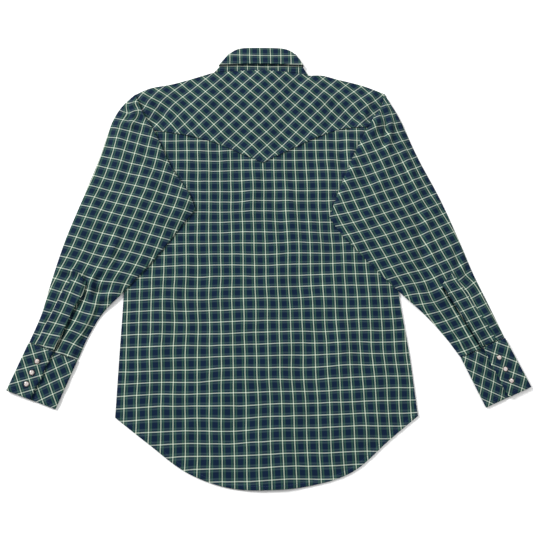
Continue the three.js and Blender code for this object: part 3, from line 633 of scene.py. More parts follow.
def head_distance(x, y):
    """How far a place is from the seam of the nearer sleeve head."""
    found = np.full(np.shape(x), 1e3)
    for rows in SLEEVES.values():
        line = spline(rows.head, 10)
        for a, b in zip(line[:-1], line[1:]):
            along = b - a
            t = clamp(((x - a[0]) * along[0] + (y - a[1]) * along[1]) / (along @ along))
            found = np.minimum(found, np.hypot(x - a[0] - t * along[0], y - a[1] - t * along[1]))
    return found


def front_under(x, y, is_right):
    """The underside of a front, raised over the other where it laps."""
    foot = CENTRE_X + LAP + 2 + LAP_RAMP
    lapped = ease((foot - x) / LAP_RAMP) if is_right else 0.0
    return collar_raise(x, y) + LAP_RAISE * lapped


def sleeve_under(x, y):
    """The underside of a sleeve: on the back, then down to the floor beside it."""
    beside = np.maximum(SLEEVE_DROP_LEFT - x, x - SLEEVE_DROP_RIGHT)
    share = 1 - ease(beside / SLEEVE_DROP)
    bridge = HEAD_BRIDGE * (0.55 + 0.45 * waves(x, y, 36, 34.0)) * np.exp(
        -((head_distance(x, y) / HEAD_BRIDGE_REACH) ** 2)
    )
    return share * (body_top(x, y) + GAP + 0.25 + np.maximum(0, bridge))


# Meshes


def cloth_mesh(name, outer, inner, cloth, closed=False, used=None):
    """A shell between two grids of points, with the cloth's own coordinates as its UV map.

    A closed grid joins its last column to its first, and cells that aren't used are left out.
    """
    columns, rows = outer.shape[:2]
    ids = np.arange(columns * rows).reshape(columns, rows)
    if closed:
        ids = np.vstack([ids, ids[:1]])
    if closed and len(cloth) == columns:
        cloth = np.concatenate([cloth, cloth[:1]])
    used = np.ones((len(ids) - 1, rows - 1), bool) if used is None else used
    corners = [(slice(None, -1), slice(None, -1)), (slice(1, None), slice(None, -1))]
    corners += [(slice(1, None), slice(1, None)), (slice(None, -1), slice(1, None))]
    cell = np.stack([ids[c] for c in corners], -1)
    flat = np.stack([cloth[c] for c in corners], -2)
    below = columns * rows
    faces = [cell[used], cell[used][:, ::-1] + below]
    maps = [flat[used], flat[used][:, ::-1]]
    padded = np.pad(used, 1)
    if closed:
        padded[0, 1:-1], padded[-1, 1:-1] = used[-1], used[0]
    sides = {
        (1, 0): padded[1:-1, :-2], (3, 2): padded[1:-1, 2:], (0, 3): padded[:-2, 1:-1],
        (2, 1): padded[2:, 1:-1]
    }
    for (a, b), neighbour in sides.items():
        rim = used & ~neighbour
        pair, pair_map = cell[rim][:, [a, b]], flat[rim][:, [a, b]]
        faces.append(np.concatenate([pair, pair[:, ::-1] + below], 1))
        maps.append(np.concatenate([pair_map, pair_map[:, ::-1]], 1))
    points = np.concatenate([outer.reshape(-1, 3), inner.reshape(-1, 3)]) * MM
    return quad_object(name, points, np.concatenate(faces), np.concatenate(maps) * MM)


def new_object(name, points, faces, smooth_shaded=True):
    """An object of points in metres and faces, put in the scene."""
    mesh = bpy.data.meshes.new(name)
    mesh.from_pydata(points, [], faces)
    if smooth_shaded:
        mesh.shade_smooth()
    made = bpy.data.objects.new(name, mesh)
    bpy.context.scene.collection.objects.link(made)
    return made


def quad_object(name, points, faces, maps):
    """An object of quads whose faces point out, without the points that no face uses."""
    kept, faces = np.unique(faces, return_inverse=True)
    faces = faces.reshape(-1, 4)
    points = points[kept]
    a, b, c, d = (points[faces[:, k]] for k in range(4))
    volume = (a * (np.cross(b, c) + np.cross(c, d))).sum()
    if volume < 0:
        faces, maps = faces[:, ::-1], maps[:, ::-1]
    made = new_object(name, points.tolist(), faces.tolist())
    layer = made.data.uv_layers.new(name="cloth")
    layer.data.foreach_set("uv", np.ascontiguousarray(maps, np.float32).ravel())
    return made


def soften(outer, inner, along_columns=True, along_rows=True, keep=0.45):
    """Rounds the rim of a panel by drawing both sides together there."""
    picks = []
    if along_columns:
        picks += [(slice(None), 0), (slice(None), -1)]
    if along_rows:
        picks += [(0, slice(None)), (-1, slice(None))]
    for pick in picks:
        middle = (outer[pick] + inner[pick]) / 2
        outer[pick] = middle + (outer[pick] - middle) * keep
        inner[pick] = middle + (inner[pick] - middle) * keep


def raised(plan_points, z):
    """Points of a plan at a height."""
    return np.concatenate([plan_points, np.broadcast_to(z, plan_points.shape[:-1])[..., None]], -1)


def swirled(table, points):
    """Plan points turned about each row's place, fading away from it."""
    moved = points.copy()
    for row in table:
        x, y = moved[..., 0] - row.x, moved[..., 1] - row.y
        turn = -math.radians(row.turn) * np.exp(-(x * x + y * y) / row.reach**2)
        spun = np.stack([x * np.cos(turn) - y * np.sin(turn), x * np.sin(turn) + y * np.cos(turn)], -1)
        moved = spun + np.array([row.x, row.y])
    return moved


def grain_map(points, grain, swirls=()):
    """Cloth coordinates of plan points: turned to the grain, from a crossing of pale lines."""
    points = swirled(swirls, points)
    x, y = points[..., 0] - grain.x, points[..., 1] - grain.y
    turn = math.radians(grain.turn)
    at = points[..., 0], points[..., 1]
    x = x + 1.0 * waves(*at, 21, 110.0) + 0.2 * waves(*at, 23, 38.0)
    y = y + 1.3 * waves(*at, 22, 110.0) + 0.25 * waves(*at, 24, 38.0)
    return np.stack([x * math.cos(turn) + y * math.sin(turn), y * math.cos(turn) - x * math.sin(turn)], -1)


def dress(piece, finish, nodes):
    """Gives a piece its finish and its place on the body, and hides the nodes it stands for."""
    piece.data.materials.append(finish_named(finish))
    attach(piece, "root")
    if nodes:
        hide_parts(*nodes)
    return piece


# Materials


def add_node(tree, kind, links=None, **settings):
    """Adds a node with its settings; links gives each input a value or another node's output."""
    made = tree.nodes.new(kind)
    for key, value in settings.items():
        setattr(made, key, value)
    for key, value in (links or {}).items():
        if isinstance(value, bpy.types.NodeSocket):
            tree.links.new(value, made.inputs[key])
        else:
            made.inputs[key].default_value = value
    return made


def new_material(name):
    """An empty material with its shader, as (material, tree, shader)."""
    found = bpy.data.materials.new(name)
    found.use_nodes = True
    tree = found.node_tree
    tree.nodes.clear()
    shader = add_node(tree, "ShaderNodeBsdfPrincipled")
    add_node(tree, "ShaderNodeOutputMaterial", {"Surface": shader.outputs["BSDF"]})
    return found, tree, shader


# Distances from the middle of a pale line where each stripe of the plaid starts, in mm
STRIPES = (
    ("line", 0.0), ("line", 0.55), ("band", 1.0), ("band", 3.1),
    ("side", 3.9), ("side", 5.0), ("band", 5.7), ("ground", 6.5),
)


def maths(tree, operation, a, b=0.0):
    """The output of a sum between two values or outputs."""
    return add_node(tree, "ShaderNodeMath", {0: a, 1: b}, operation=operation).outputs[0]


def noise(tree, place, scale, detail=2.0, **more):
    """The output of a noise at a scale in waves for each metre."""
    links = {"Vector": place, "Scale": scale, "Detail": detail} | more
    return add_node(tree, "ShaderNodeTexNoise", links).outputs["Fac"]


def spread(tree, value, start, end, low, high):
    """The output that runs from low to high while the value runs from start to end."""
    links = {"Value": value, "From Min": start, "From Max": end, "To Min": low, "To Max": high}
    return add_node(tree, "ShaderNodeMapRange", links).outputs["Result"]


def toned(tree, colour, level):
    """A colour times a level."""
    settings = {"data_type": "RGBA", "blend_type": "MULTIPLY"}
    return add_node(tree, "ShaderNodeMix", {0: 1.0, 6: colour, 7: level}, **settings).outputs[2]


def finish_with(tree, shader, links, **values):
    """Links outputs to the shader's inputs, and sets its even values."""
    for key, output in links.items():
        tree.links.new(output, shader.inputs[key])
    for key, value in values.items():
        shader.inputs[key.replace("_", " ")].default_value = value


def stripe_ramp(tree, coordinate, repeat, colours):
    """The colour of one set of yarns: a symmetric order of stripes that repeats."""
    share = maths(tree, "DIVIDE", maths(tree, "PINGPONG", coordinate, repeat / 2), repeat / 2)
    ramp = add_node(tree, "ShaderNodeValToRGB", {"Fac": share})
    stops = ramp.color_ramp.elements
    stops.remove(stops[1])
    for index, (stripe, start) in enumerate(STRIPES):
        place = min(1.0, start * MM / (repeat / 2))
        stop = stops[0] if index == 0 else stops.new(place)
        stop.position = place
        stop.color = (*colours[stripe], 1)
    return ramp.outputs["Color"]


def woven_cotton_plaid():
    """Yarn-dyed plain-weave cotton. The eye sees pale lines that brighten where they cross, soft
    edges between yarns, a dry surface with a faint nap, and uneven yarns along both directions."""
    plaid = bpy.context.scene.shirt_plaid
    made, tree, shader = new_material("woven_cotton_plaid")
    cloth = add_node(tree, "ShaderNodeUVMap", uv_map="cloth")
    parts = add_node(tree, "ShaderNodeSeparateXYZ", {0: cloth.outputs["UV"]})
    across, along = parts.outputs["X"], parts.outputs["Y"]
    yarns = []
    for coordinate, yarn, slub_scale in (
        (across, "warp", (1400.0, 45.0, 1.0)),
        (along, "weft", (45.0, 1400.0, 1.0)),
    ):
        colours = {stripe: getattr(plaid, f"{yarn}_{stripe}") for stripe in ("line", "side", "band")}
        colour = stripe_ramp(tree, coordinate, plaid.repeat, colours | {"ground": plaid.ground})
        # A slub is a few threads wide and some centimetres long
        scaling = {0: cloth.outputs["UV"], 1: slub_scale}
        scaled = add_node(tree, "ShaderNodeVectorMath", scaling, operation="MULTIPLY")
        level = spread(tree, noise(tree, scaled.outputs[0], 1.0), 0.3, 0.7, 0.82, 1.18)
        yarns.append(toned(tree, colour, level))
    # Over and under: real threads are 0.35 mm apart, and are drawn 0.9 mm apart so that they show
    threads = []
    for coordinate in (across, along):
        threads.append(maths(tree, "SINE", maths(tree, "MULTIPLY", coordinate, math.tau / plaid.weave)))
    over = maths(tree, "MULTIPLY", *threads)
    share = spread(tree, over, -1.0, 1.0, 0.36, 0.64)
    woven = add_node(tree, "ShaderNodeMix", {0: share, 6: yarns[0], 7: yarns[1]}, data_type="RGBA")
    # The cloth is washed a little unevenly, over some centimetres
    tone = spread(tree, noise(tree, cloth.outputs["UV"], 22.0, 3.0), 0.3, 0.7, 0.96, 1.04)
    height = maths(tree, "ADD", over, noise(tree, cloth.outputs["UV"], 900.0))
    bump = add_node(tree, "ShaderNodeBump", {"Strength": 0.35, "Distance": 0.12 * MM, "Height": height})
    links = {"Base Color": toned(tree, woven.outputs[2], tone), "Normal": bump.outputs["Normal"]}
    finish_with(tree, shader, links, Roughness=0.9, IOR=1.46, Specular_IOR_Level=0.12)
    finish_with(tree, shader, {}, Sheen_Weight=0.025, Sheen_Roughness=0.5)
    return made


def spun_polyester_thread():
    """Corespun polyester sewing thread. The eye sees small dark stitches, a little glossier than the cloth."""
    made, tree, shader = new_material("spun_polyester_thread")
    place = add_node(tree, "ShaderNodeTexCoord")
    # Plies twist every millimetre or so
    ply = noise(tree, place.outputs["Object"], 1100.0, 1.0)
    level = spread(tree, ply, 0.3, 0.7, 0.75, 1.3)
    colour = toned(tree, (*bpy.context.scene.shirt_plaid.thread, 1), level)
    bump = add_node(tree, "ShaderNodeBump", {"Strength": 0.3, "Distance": 0.05 * MM, "Height": ply})
    links = {"Base Color": colour, "Normal": bump.outputs["Normal"]}
    finish_with(tree, shader, links, Roughness=0.55, Sheen_Weight=0.1)
    return made


def moulded_pearl_acrylic():
    """Pearlescent acrylic, moulded and polished. The eye sees cloudy pinkish white under a clear gloss."""
    made, tree, shader = new_material("moulded_pearl_acrylic")
    place = add_node(tree, "ShaderNodeTexCoord")
    # Pearl clouds are a few millimetres across
    clouds = noise(tree, place.outputs["Object"], 420.0, 3.0, Distortion=1.4)
    ramp = add_node(tree, "ShaderNodeValToRGB", {"Fac": clouds})
    pearl = bpy.context.scene.shirt_snaps.pearl
    stops = ramp.color_ramp.elements
    stops[0].position, stops[0].color = 0.32, (pearl[0] * 0.42, pearl[1] * 0.38, pearl[2] * 0.38, 1)
    stops[1].position, stops[1].color = 0.68, (*pearl, 1)
    finish_with(tree, shader, {"Base Color": ramp.outputs["Color"]}, Roughness=0.16, IOR=1.49)
    finish_with(tree, shader, {}, Coat_Weight=0.6, Coat_Roughness=0.08)
    finish_with(tree, shader, {}, Subsurface_Weight=0.1, Subsurface_Scale=0.6 * MM)
    return made


def stamped_nickel():
    """Nickel-plated brass, stamped and tumbled. The eye sees a soft grey mirror with fine rubbed marks; its dark
    colour is partly the metal's own and partly painted shadow and dark reflection round the snap.
    """
    made, tree, shader = new_material("stamped_nickel")
    place = add_node(tree, "ShaderNodeTexCoord")
    # Tumbling marks are tenths of a millimetre wide
    rough = spread(tree, noise(tree, place.outputs["Object"], 2600.0, 3.0), 0.0, 1.0, 0.2, 0.42)
    # Dark metal colour: partly the ring's own, partly painted shadow and dark reflection round the snap
    colour = (*bpy.context.scene.shirt_snaps.ring, 1)
    finish_with(tree, shader, {"Roughness": rough}, Base_Color=colour, Metallic=1.0)
    return made


def seamless_paper():
    """Matt seamless paper. The eye sees an even pale ground with a soft contact shadow."""
    made, tree, shader = new_material("seamless_paper")
    place = add_node(tree, "ShaderNodeTexCoord")
    # Paper tooth is about half a millimetre
    tooth = noise(tree, place.outputs["Object"], 1800.0)
    bump = add_node(tree, "ShaderNodeBump", {"Strength": 0.05, "Distance": 0.05 * MM, "Height": tooth})
    colour = (*bpy.context.scene.shirt_studio.floor, 1)
    finish_with(tree, shader, {"Normal": bump.outputs["Normal"]}, Base_Color=colour, Roughness=0.95)
    return made


def finish_named(name):
    """A material by name, made once."""
    makers = (
        woven_cotton_plaid, spun_polyester_thread, moulded_pearl_acrylic, stamped_nickel, seamless_paper
    )
    makers = {maker.__name__: maker for maker in makers}
    return bpy.data.materials.get(name) or makers[name]()


# Body


def folded_shoulder(u, depth):
    """A point of the shoulder at a depth inside its fold, for shares of the yoke's width."""
    u = np.asarray(u, float)
    found = np.zeros(u.shape + (2,))
    for curve, picked, share in (
        (smooth(SHOULDER_LEFT), u <= 0.5, np.minimum(u, NECK_AT) / NECK_AT),
        (smooth(SHOULDER_RIGHT), u > 0.5, (np.maximum(u, 1 - NECK_AT) - 1 + NECK_AT) / NECK_AT),
    ):
        ahead = curve(clamp(share + 0.02)) - curve(clamp(share - 0.02))
        ahead /= np.linalg.norm(ahead, axis=-1, keepdims=True)
        inward = np.stack([ahead[..., 1], -ahead[..., 0]], -1)
        found[picked] = (curve(share) + inward * depth)[picked]
    return found


def back_run(ring, t):
    """A collar ring's back run from its left fold (0) to its right one (1)."""
    radius = (ring.top - ring.under) / 2
    level = ring.left[1] * (1 - t) + ring.right[1] * t
    y = ring.mid + (level - ring.mid) * np.abs(2 * t - 1) ** ring.corner
    x = (ring.left[0] + radius) * (1 - t) + (ring.right[0] - radius) * t
    return np.stack([x, y], -1)


def front_run(ring, side, share):
    """A collar ring's front run on one side, from the closing line (0) to the fold (1)."""
    radius = (ring.top - ring.under) / 2
    fold, end = (ring.left, ring.end_left) if side < 0 else (ring.right, ring.end_right)
    x = end[0] + (fold[0] - side * radius - end[0]) * share
    return np.stack([x, end[1] + (fold[1] - end[1]) * np.abs(share) ** ring.bow], -1)


class SHIRT_OT_back_panel(bpy.types.Operator):
    """Cut the back panel from the yoke to the shirttail hem"""

    bl_idname = "shirt.back_panel"
    bl_label = "Back Panel"

    def execute(self, context):
        sizes = context.scene.shirt_sizes
        under_yoke = [[(x, y + YOKE_LAP) for x, y in rows] for rows in (YOKE_POINT_LEFT, YOKE_POINT_RIGHT)]
        arm = [[*rows[:-1], (rows[-1][0], rows[-1][1] + YOKE_LAP)] for rows in (ARMHOLE_LEFT, ARMHOLE_RIGHT)]
        plan = patch(
            edge((smooth(SIDE_LEFT), 0.7), (smooth(arm[0]), 1)),
            edge((smooth(SIDE_RIGHT), 0.7), (smooth(arm[1]), 1)),
            smooth(HEM),
            edge((smooth(under_yoke[0]), 0.5), (smooth(under_yoke[1]), 1)),
        )
        step = sizes.step / MM
        u, v = grid(shares(520, step), shares(620, step, (0.5, 1.4, 5.5, 6.5, 7.3)))
        points = plan(u, v)
        x, y = points[..., 0], points[..., 1]
        inner = raised(points, back_under(x, y))
        outer = raised(points, back_top(x, y))
        soften(outer, inner)
        piece = cloth_mesh("cloth_back_panel", outer, inner, grain_map(points, BODY_GRAIN))
        dress(piece, "woven_cotton_plaid", ["back_panel"])
        return {"FINISHED"}


class SHIRT_OT_back_yoke(bpy.types.Operator):
    """Cut the pointed yoke on the bias and fold it over the shoulders"""

    bl_idname = "shirt.back_yoke"
    bl_label = "Back Yoke"

    def execute(self, context):
        sizes = context.scene.shirt_sizes
        step, thick = sizes.step / MM, sizes.cloth / MM
        neck = lambda t: back_run(STAND_SEAM, t) - np.array([0, NECK_GAP])
        over = lambda low, high: lambda t: folded_shoulder(low + (high - low) * t, WRAP_RADIUS)
        plan = patch(
            smooth([*YOKE_END_LEFT[:2], tuple(folded_shoulder(0.0, WRAP_RADIUS))]),
            smooth([*YOKE_END_RIGHT[:2], tuple(folded_shoulder(1.0, WRAP_RADIUS))]),
            edge((smooth(YOKE_POINT_LEFT), 0.5), (smooth(YOKE_POINT_RIGHT), 1)),
            edge((over(0, NECK_AT), NECK_AT), (neck, 1 - NECK_AT), (over(1 - NECK_AT, 1), 1)),
        )
        us = shares(510, step)
        us = np.unique(np.concatenate([us, [NECK_AT, 1 - NECK_AT]]))
        vs = shares(180, step, (0.5, 1.0, 1.6, 2.4, 7.0, 8.0))
        u, v = grid(us, vs)
        points = plan(u, v)
        x, y = points[..., 0], points[..., 1]
        low = back_under(x, y) + yoke_lift(x, y)
        outer, inner, cloth = raised(points, yoke_top(x, y)), raised(points, low), points.copy()
        soften(outer[:, :2], inner[:, :2], along_rows=False)
        centre = folded_shoulder(us, WRAP_RADIUS)
        out = centre - folded_shoulder(us, WRAP_RADIUS + 1)
        middle = collar_raise(centre[:, 0], centre[:, 1]) + WRAP_RADIUS
        rows_outer, rows_inner, rows_cloth = [], [], []
        for turn in range(70, -91, -20):
            angle = math.radians(turn)
            way = np.concatenate([out * math.cos(angle), np.full((len(us), 1), math.sin(angle))], 1)
            base = np.concatenate([centre, middle[:, None]], 1)
            rows_outer.append(base + way * WRAP_RADIUS)
            rows_inner.append(base + way * (WRAP_RADIUS - thick))
            rows_cloth.append(centre + out * WRAP_RADIUS * math.radians(90 - turn))
        half_turn = WRAP_RADIUS * math.pi
        for depth in np.linspace(WRAP_RADIUS, SHOULDER_WRAP, 8)[1:]:
            end = folded_shoulder(us, depth)
            low = collar_raise(end[:, 0], end[:, 1])
            rows_outer.append(raised(end, low))
            rows_inner.append(raised(end, low + thick))
            rows_cloth.append(centre + out * (half_turn + depth - WRAP_RADIUS))
        outer = np.concatenate([outer, np.stack(rows_outer, 1)], 1)
        inner = np.concatenate([inner, np.stack(rows_inner, 1)], 1)
        cloth = np.concatenate([cloth, np.stack(rows_cloth, 1)], 1)
        between = (us[1:] + us[:-1]) / 2
        used = np.ones((len(us) - 1, outer.shape[1] - 1), bool)
        used[(between > NECK_AT) & (between < 1 - NECK_AT), len(vs) - 1 :] = False
        piece = cloth_mesh(
            "cloth_back_yoke", outer, inner, grain_map(cloth, YOKE_GRAIN, YOKE_SWIRLS), used=used
        )
        dress(piece, "woven_cotton_plaid", ["back_yoke"])
        return {"FINISHED"}


def front_plan(side):
    """The plan of one front and its closing edge."""
    is_right = side > 0
    side_rows, arm_rows = (SIDE_RIGHT, ARMHOLE_RIGHT) if is_right else (SIDE_LEFT, ARMHOLE_LEFT)
    inward = lambda rows: [(x - side * GAP, y) for x, y in rows]
    fold = (STAND_SEAM.right if is_right else STAND_SEAM.left)[0]
    lap_share = LAP / abs(fold - CENTRE_X)
    gap = np.array([side * NECK_GAP, 0])

    def neckline(share):
        return front_run(STAND_SEAM, side, share) + gap * np.abs(share)[..., None] - np.array([0, NECK_GAP])

    def shoulder(t):
        return folded_shoulder(t * NECK_AT if side < 0 else 1 - t * NECK_AT, SHOULDER_WRAP + GAP)

    top = edge((shoulder, 0.5), (lambda t: neckline(NECK_START + (-lap_share - NECK_START) * t), 1))
    hem = smooth(HEM)
    hem_end = 0.477 if is_right else 0.53
    hem_start = 1 if is_right else 0
    hem_at = lambda t: hem(hem_start + (hem_end - hem_start) * np.asarray(t, float))
    lap_x = CENTRE_X - side * LAP

    def bottom(t):
        found = hem_at(t) + np.array([0, 1.0])
        found[..., 0] = np.where(np.asarray(t) >= 1, lap_x, found[..., 0])
        return found

    low, high = float(hem_at(1.0)[1]) + 1, float(top(1.0)[1])
    closing = lambda t: np.stack([np.full(np.shape(t), lap_x), low + (high - low) * np.asarray(t, float)], -1)
    arm_end = tuple(top(0.0))
    arm = smooth([*inward(arm_rows[:3]), arm_end])
    return patch(edge((smooth(inward(side_rows)), 0.6), (arm, 1)), closing, bottom, top)


def cut_snap_holes(piece):
    """Round holes down the left front, in which the front snaps sit."""
    points, faces = [], []
    for i in range(FRONT_SNAP_COUNT):
        low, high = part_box(f"front_snap_{i + 1}")
        middle = (low + high) / 2
        radius = (high.x - low.x) / 2 + GAP * MM
        start, upper = len(points), len(points) + HOLE_SIDES
        for z in (-HOLE_REACH * MM, HOLE_REACH * MM):
            for k in range(HOLE_SIDES):
                turn = math.tau * k / HOLE_SIDES
                x, y = radius * math.cos(turn), radius * math.sin(turn)
                points.append((middle.x + x, middle.y + y, middle.z + z))
        for k in range(HOLE_SIDES):
            after = (k + 1) % HOLE_SIDES
            faces.append([start + k, start + after, upper + after, upper + k])
        faces.append([start + k for k in reversed(range(HOLE_SIDES))])
        faces.append([upper + k for k in range(HOLE_SIDES)])
    cutter = new_object("snap_hole_cutter", points, faces, smooth_shaded=False)
    cut = piece.modifiers.new("snap holes", "BOOLEAN")
    cut.operation, cut.solver, cut.object = "DIFFERENCE", "EXACT", cutter
    bpy.context.view_layer.objects.active = piece
    bpy.ops.object.modifier_apply(modifier=cut.name)
    bpy.data.objects.remove(cutter)


class SHIRT_OT_fronts(bpy.types.Operator):
    """Cut the two fronts that lie under the back, lapped at the centre"""

    bl_idname = "shirt.fronts"
    bl_label = "Fronts"

    def execute(self, context):
        thick = context.scene.shirt_sizes.cloth / MM
        for side, node in ((-1, "front_left"), (1, "front_right")):
            plan = front_plan(side)
            u, v = grid(shares(270, 6.0), shares(640, 6.0))
            points = plan(u, v)
            low = front_under(points[..., 0], points[..., 1], side > 0)
            inner, outer = raised(points, low), raised(points, low + thick)
            soften(outer, inner)
            piece = cloth_mesh("cloth_" + node, outer, inner, grain_map(points, BODY_GRAIN))
            if side < 0:
                cut_snap_holes(piece)
            dress(piece, "woven_cotton_plaid", [node])
        return {"FINISHED"}


# Sleeves


class SleeveForm:
    """A sleeve's plan, widths, upper side and cloth coordinates."""

    def __init__(self, side):
        self.rows = SLEEVES[side]
        self.side = side
        outer, inner = smooth(self.rows.outer), smooth(self.rows.inner)
        end_outer, end_inner = np.array(self.rows.outer[-1]), np.array(self.rows.inner[-1])
        seam = lambda t: end_outer + (end_inner - end_outer) * np.asarray(t, float)[..., None]
        self.plan = patch(outer, inner, smooth(self.rows.head), seam)
        self.length = float(np.linalg.norm(self.plan(0.5, 1.0) - self.plan(0.5, 0.0)))
        self.axis = 90 + (-22 if side == "left" else 28)

    def width(self, v):
        """The laid width at a share of the length."""
        return np.linalg.norm(self.plan(1.0, v) - self.plan(0.0, v), axis=-1)

    def hollow(self, u, v):
        """The air inside, with the creases and the gathers at the cuff."""
        x, y = np.moveaxis(self.plan(u, v), -1, 0)
        flat = 2 * u - 1
        puff = SLEEVE_LOFT * (1 - flat**4) * (1 - 0.3 * v)
        fold = creases(SLEEVE_CREASES[self.side], x, y) * (1 - flat**6)
        rumple = bpy.context.scene.shirt_sizes.rumple / MM
        soft = waves(x, y, 31, 55.0, self.axis, 2.0) * 0.8 + waves(x, y, 32, 24.0, self.axis, 1.8) * 0.42
        to_cuff = (1 - v) * self.length
        gathers = 0.8 * np.exp(-to_cuff / 26) * waves(u * self.width(v), 0 * u, 33, 13.0, count=6)
        at_head = ease(v * self.length / 12)
        lift = puff + (
            1.25 + 0.35 * ease((170 - to_cuff) / 60)
        ) * fold + rumple * (0.8 + soft) * (1 - flat**6) + gathers * (1 - flat**6)
        # Away from the light the lip beside the slit sinks; towards it, it stands up and shades the slit
        from_slit = (u - self.slit(v)) * self.width(v)
        lip = self.rows.lip * np.exp(-(((from_slit - SLIT_WIDTH) / 6) ** 2)) * self.on_slit(v)
        return GAP + np.maximum(0, lift + lip) * (0.3 + 0.7 * at_head)

    def on_slit(self, v):
        """1 along the slit and 0 above it."""
        return ease(((v - 1) * self.length + PLACKET_LENGTH) / 10)

    def slit(self, v):
        """The slit's share of the width."""
        away, share = np.transpose(self.rows.slit)
        return np.interp((1 - v) * self.length, away, share)

    def top(self, u, v):
        """Points of the upper side."""
        points = self.plan(u, v)
        thick = bpy.context.scene.shirt_sizes.cloth / MM
        return raised(points, sleeve_under(points[..., 0], points[..., 1]) + 2 * thick + self.hollow(u, v))

    def cloth(self, points):
        """Cloth coordinates: across from the grain line along the weft, and along the grain line."""
        line = spline(self.rows.grain)
        points = swirled(SLEEVE_SWIRLS[self.side], points)
        reach = 400.0
        first, last = line[0] - line[1], line[-1] - line[-2]
        line = np.vstack(
            [
                line[0] + reach * first / np.linalg.norm(first),
                line,
                line[-1] + reach * last / np.linalg.norm(last)
            ]
        )
        run = np.concatenate([[0], np.cumsum(np.linalg.norm(np.diff(line, axis=0), axis=1))]) - reach
        turn = math.radians(self.rows.weft)
        weft, down = np.array([math.cos(turn), math.sin(turn)]), np.array([math.sin(turn), -math.cos(turn)])
        depth = line @ down
        at = points @ down
        nearest = np.stack([np.interp(at, depth, line[:, k]) for k in (0, 1)], -1)
        across = ((points - nearest) @ weft) + 0.8 * waves(points[..., 0], points[..., 1], 34, 90.0)
        along = np.interp(at, depth, run) + self.rows.bow * across**2 + 0.8 * waves(
            points[..., 0], points[..., 1], 35, 90.0
        )
        return np.stack([across, along], -1)


def beside_slit(value, slit):
    """A column's share of the width, moved so that one column follows the slit."""
    rest = SLIT_COLUMN / (SLEEVE_COLUMNS - 1)
    return np.where(value < rest, value * slit / rest, 1 - (1 - value) * (1 - slit) / (1 - rest))


def sleeve_mesh(form):
    """A flattened tube with rounded folds, as its outer, inner and cloth grids."""
    radius, thick = SLEEVE_FOLD, bpy.context.scene.shirt_sizes.cloth / MM
    vs = shares(form.length, bpy.context.scene.shirt_sizes.step / MM, (0.6, 1.6, 3.0))
    turns = np.radians([0, 25, 50, 75])
    mid_count = SLEEVE_COLUMNS
    columns = []
    for upward, count in ((True, mid_count), (False, mid_count // 3)):
        middle = np.linspace(0, 1, count)
        run = [("near", t) for t in turns] + [("flat", s) for s in middle] + [("far", t) for t in turns[::-1]]
        run = run if upward else run[::-1][1:-1]
        columns += [(upward, kind, value) for kind, value in run]
    width = form.width(vs)
    outer, inner, cloth = [], [], []
    start = form.cloth(form.plan(0.0 * vs, vs))
    for upward, kind, value in columns:
        if kind == "flat":
            value = beside_slit(
                value, (form.slit(vs) * width - radius) / (width - 2 * radius)
            ) if upward else value
            u = (radius + (width - 2 * radius) * value) / width
            lift, side, into = 1.0, 0.0, 0.0
        else:
            inset = radius * (1 - math.cos(value))
            side = -1.0 if kind == "near" else 1.0
            u = inset / width if kind == "near" else 1 - inset / width
            lift, into = math.sin(value), thick * math.cos(value)
        points = form.plan(u, vs)
        low = sleeve_under(points[..., 0], points[..., 1])
        high = low + 2 * thick + form.hollow(u, vs)
        middle_z = (low + high) / 2
        half = (high - low) / 2
        sign = 1.0 if upward else -1.0
        z = middle_z + sign * half * lift
        across = form.plan(1.0 + 0 * vs, vs) - form.plan(0 * vs, vs)
        across /= np.linalg.norm(across, axis=-1, keepdims=True)
        outer.append(raised(points, z))
        inner.append(raised(points - across * side * into, z - sign * thick * min(1.0, lift)))
        flat = form.cloth(points)
        cloth.append(flat if upward else np.stack([2 * start[..., 0] - flat[..., 0], flat[..., 1]], -1))
    outer, inner, cloth = np.stack(outer), np.stack(inner), np.stack(cloth)
    soften(outer, inner, along_rows=False)
    # Cells of the upper ply beside the placket's edge are left open
    used = np.ones((len(columns), len(vs) - 1), bool)
    between = (vs[1:] + vs[:-1]) / 2
    for step in SLIT_CELLS:
        used[len(turns) + SLIT_COLUMN + step] = (1 - between) * form.length > PLACKET_LENGTH - 5
    return outer, inner, cloth, used


class SHIRT_OT_sleeves(bpy.types.Operator):
    """Lay both sleeves over the back, down to the floor beside it"""

    bl_idname = "shirt.sleeves"
    bl_label = "Sleeves"

    def execute(self, context):
        for side in SLEEVES:
            form = SleeveForm(side)
            outer, inner, cloth, used = sleeve_mesh(form)
            piece = cloth_mesh("cloth_sleeve_" + side, outer, inner, cloth, closed=True, used=used)
            dress(piece, "woven_cotton_plaid", ["sleeve_" + side])
        return {"FINISHED"}


def placket_opening(s, t):
    """How far the strip's slit edge stands open, over its width and length."""
    uneven = 0.75 + 0.35 * waves(PLACKET_LENGTH * t, 0 * t, 42, 40.0, count=6)
    return PLACKET_OPENING * ease((s - 0.5) / 0.5) * uneven * ease(t / 0.12) * ease((1 - t) / 0.1 + 0.25)


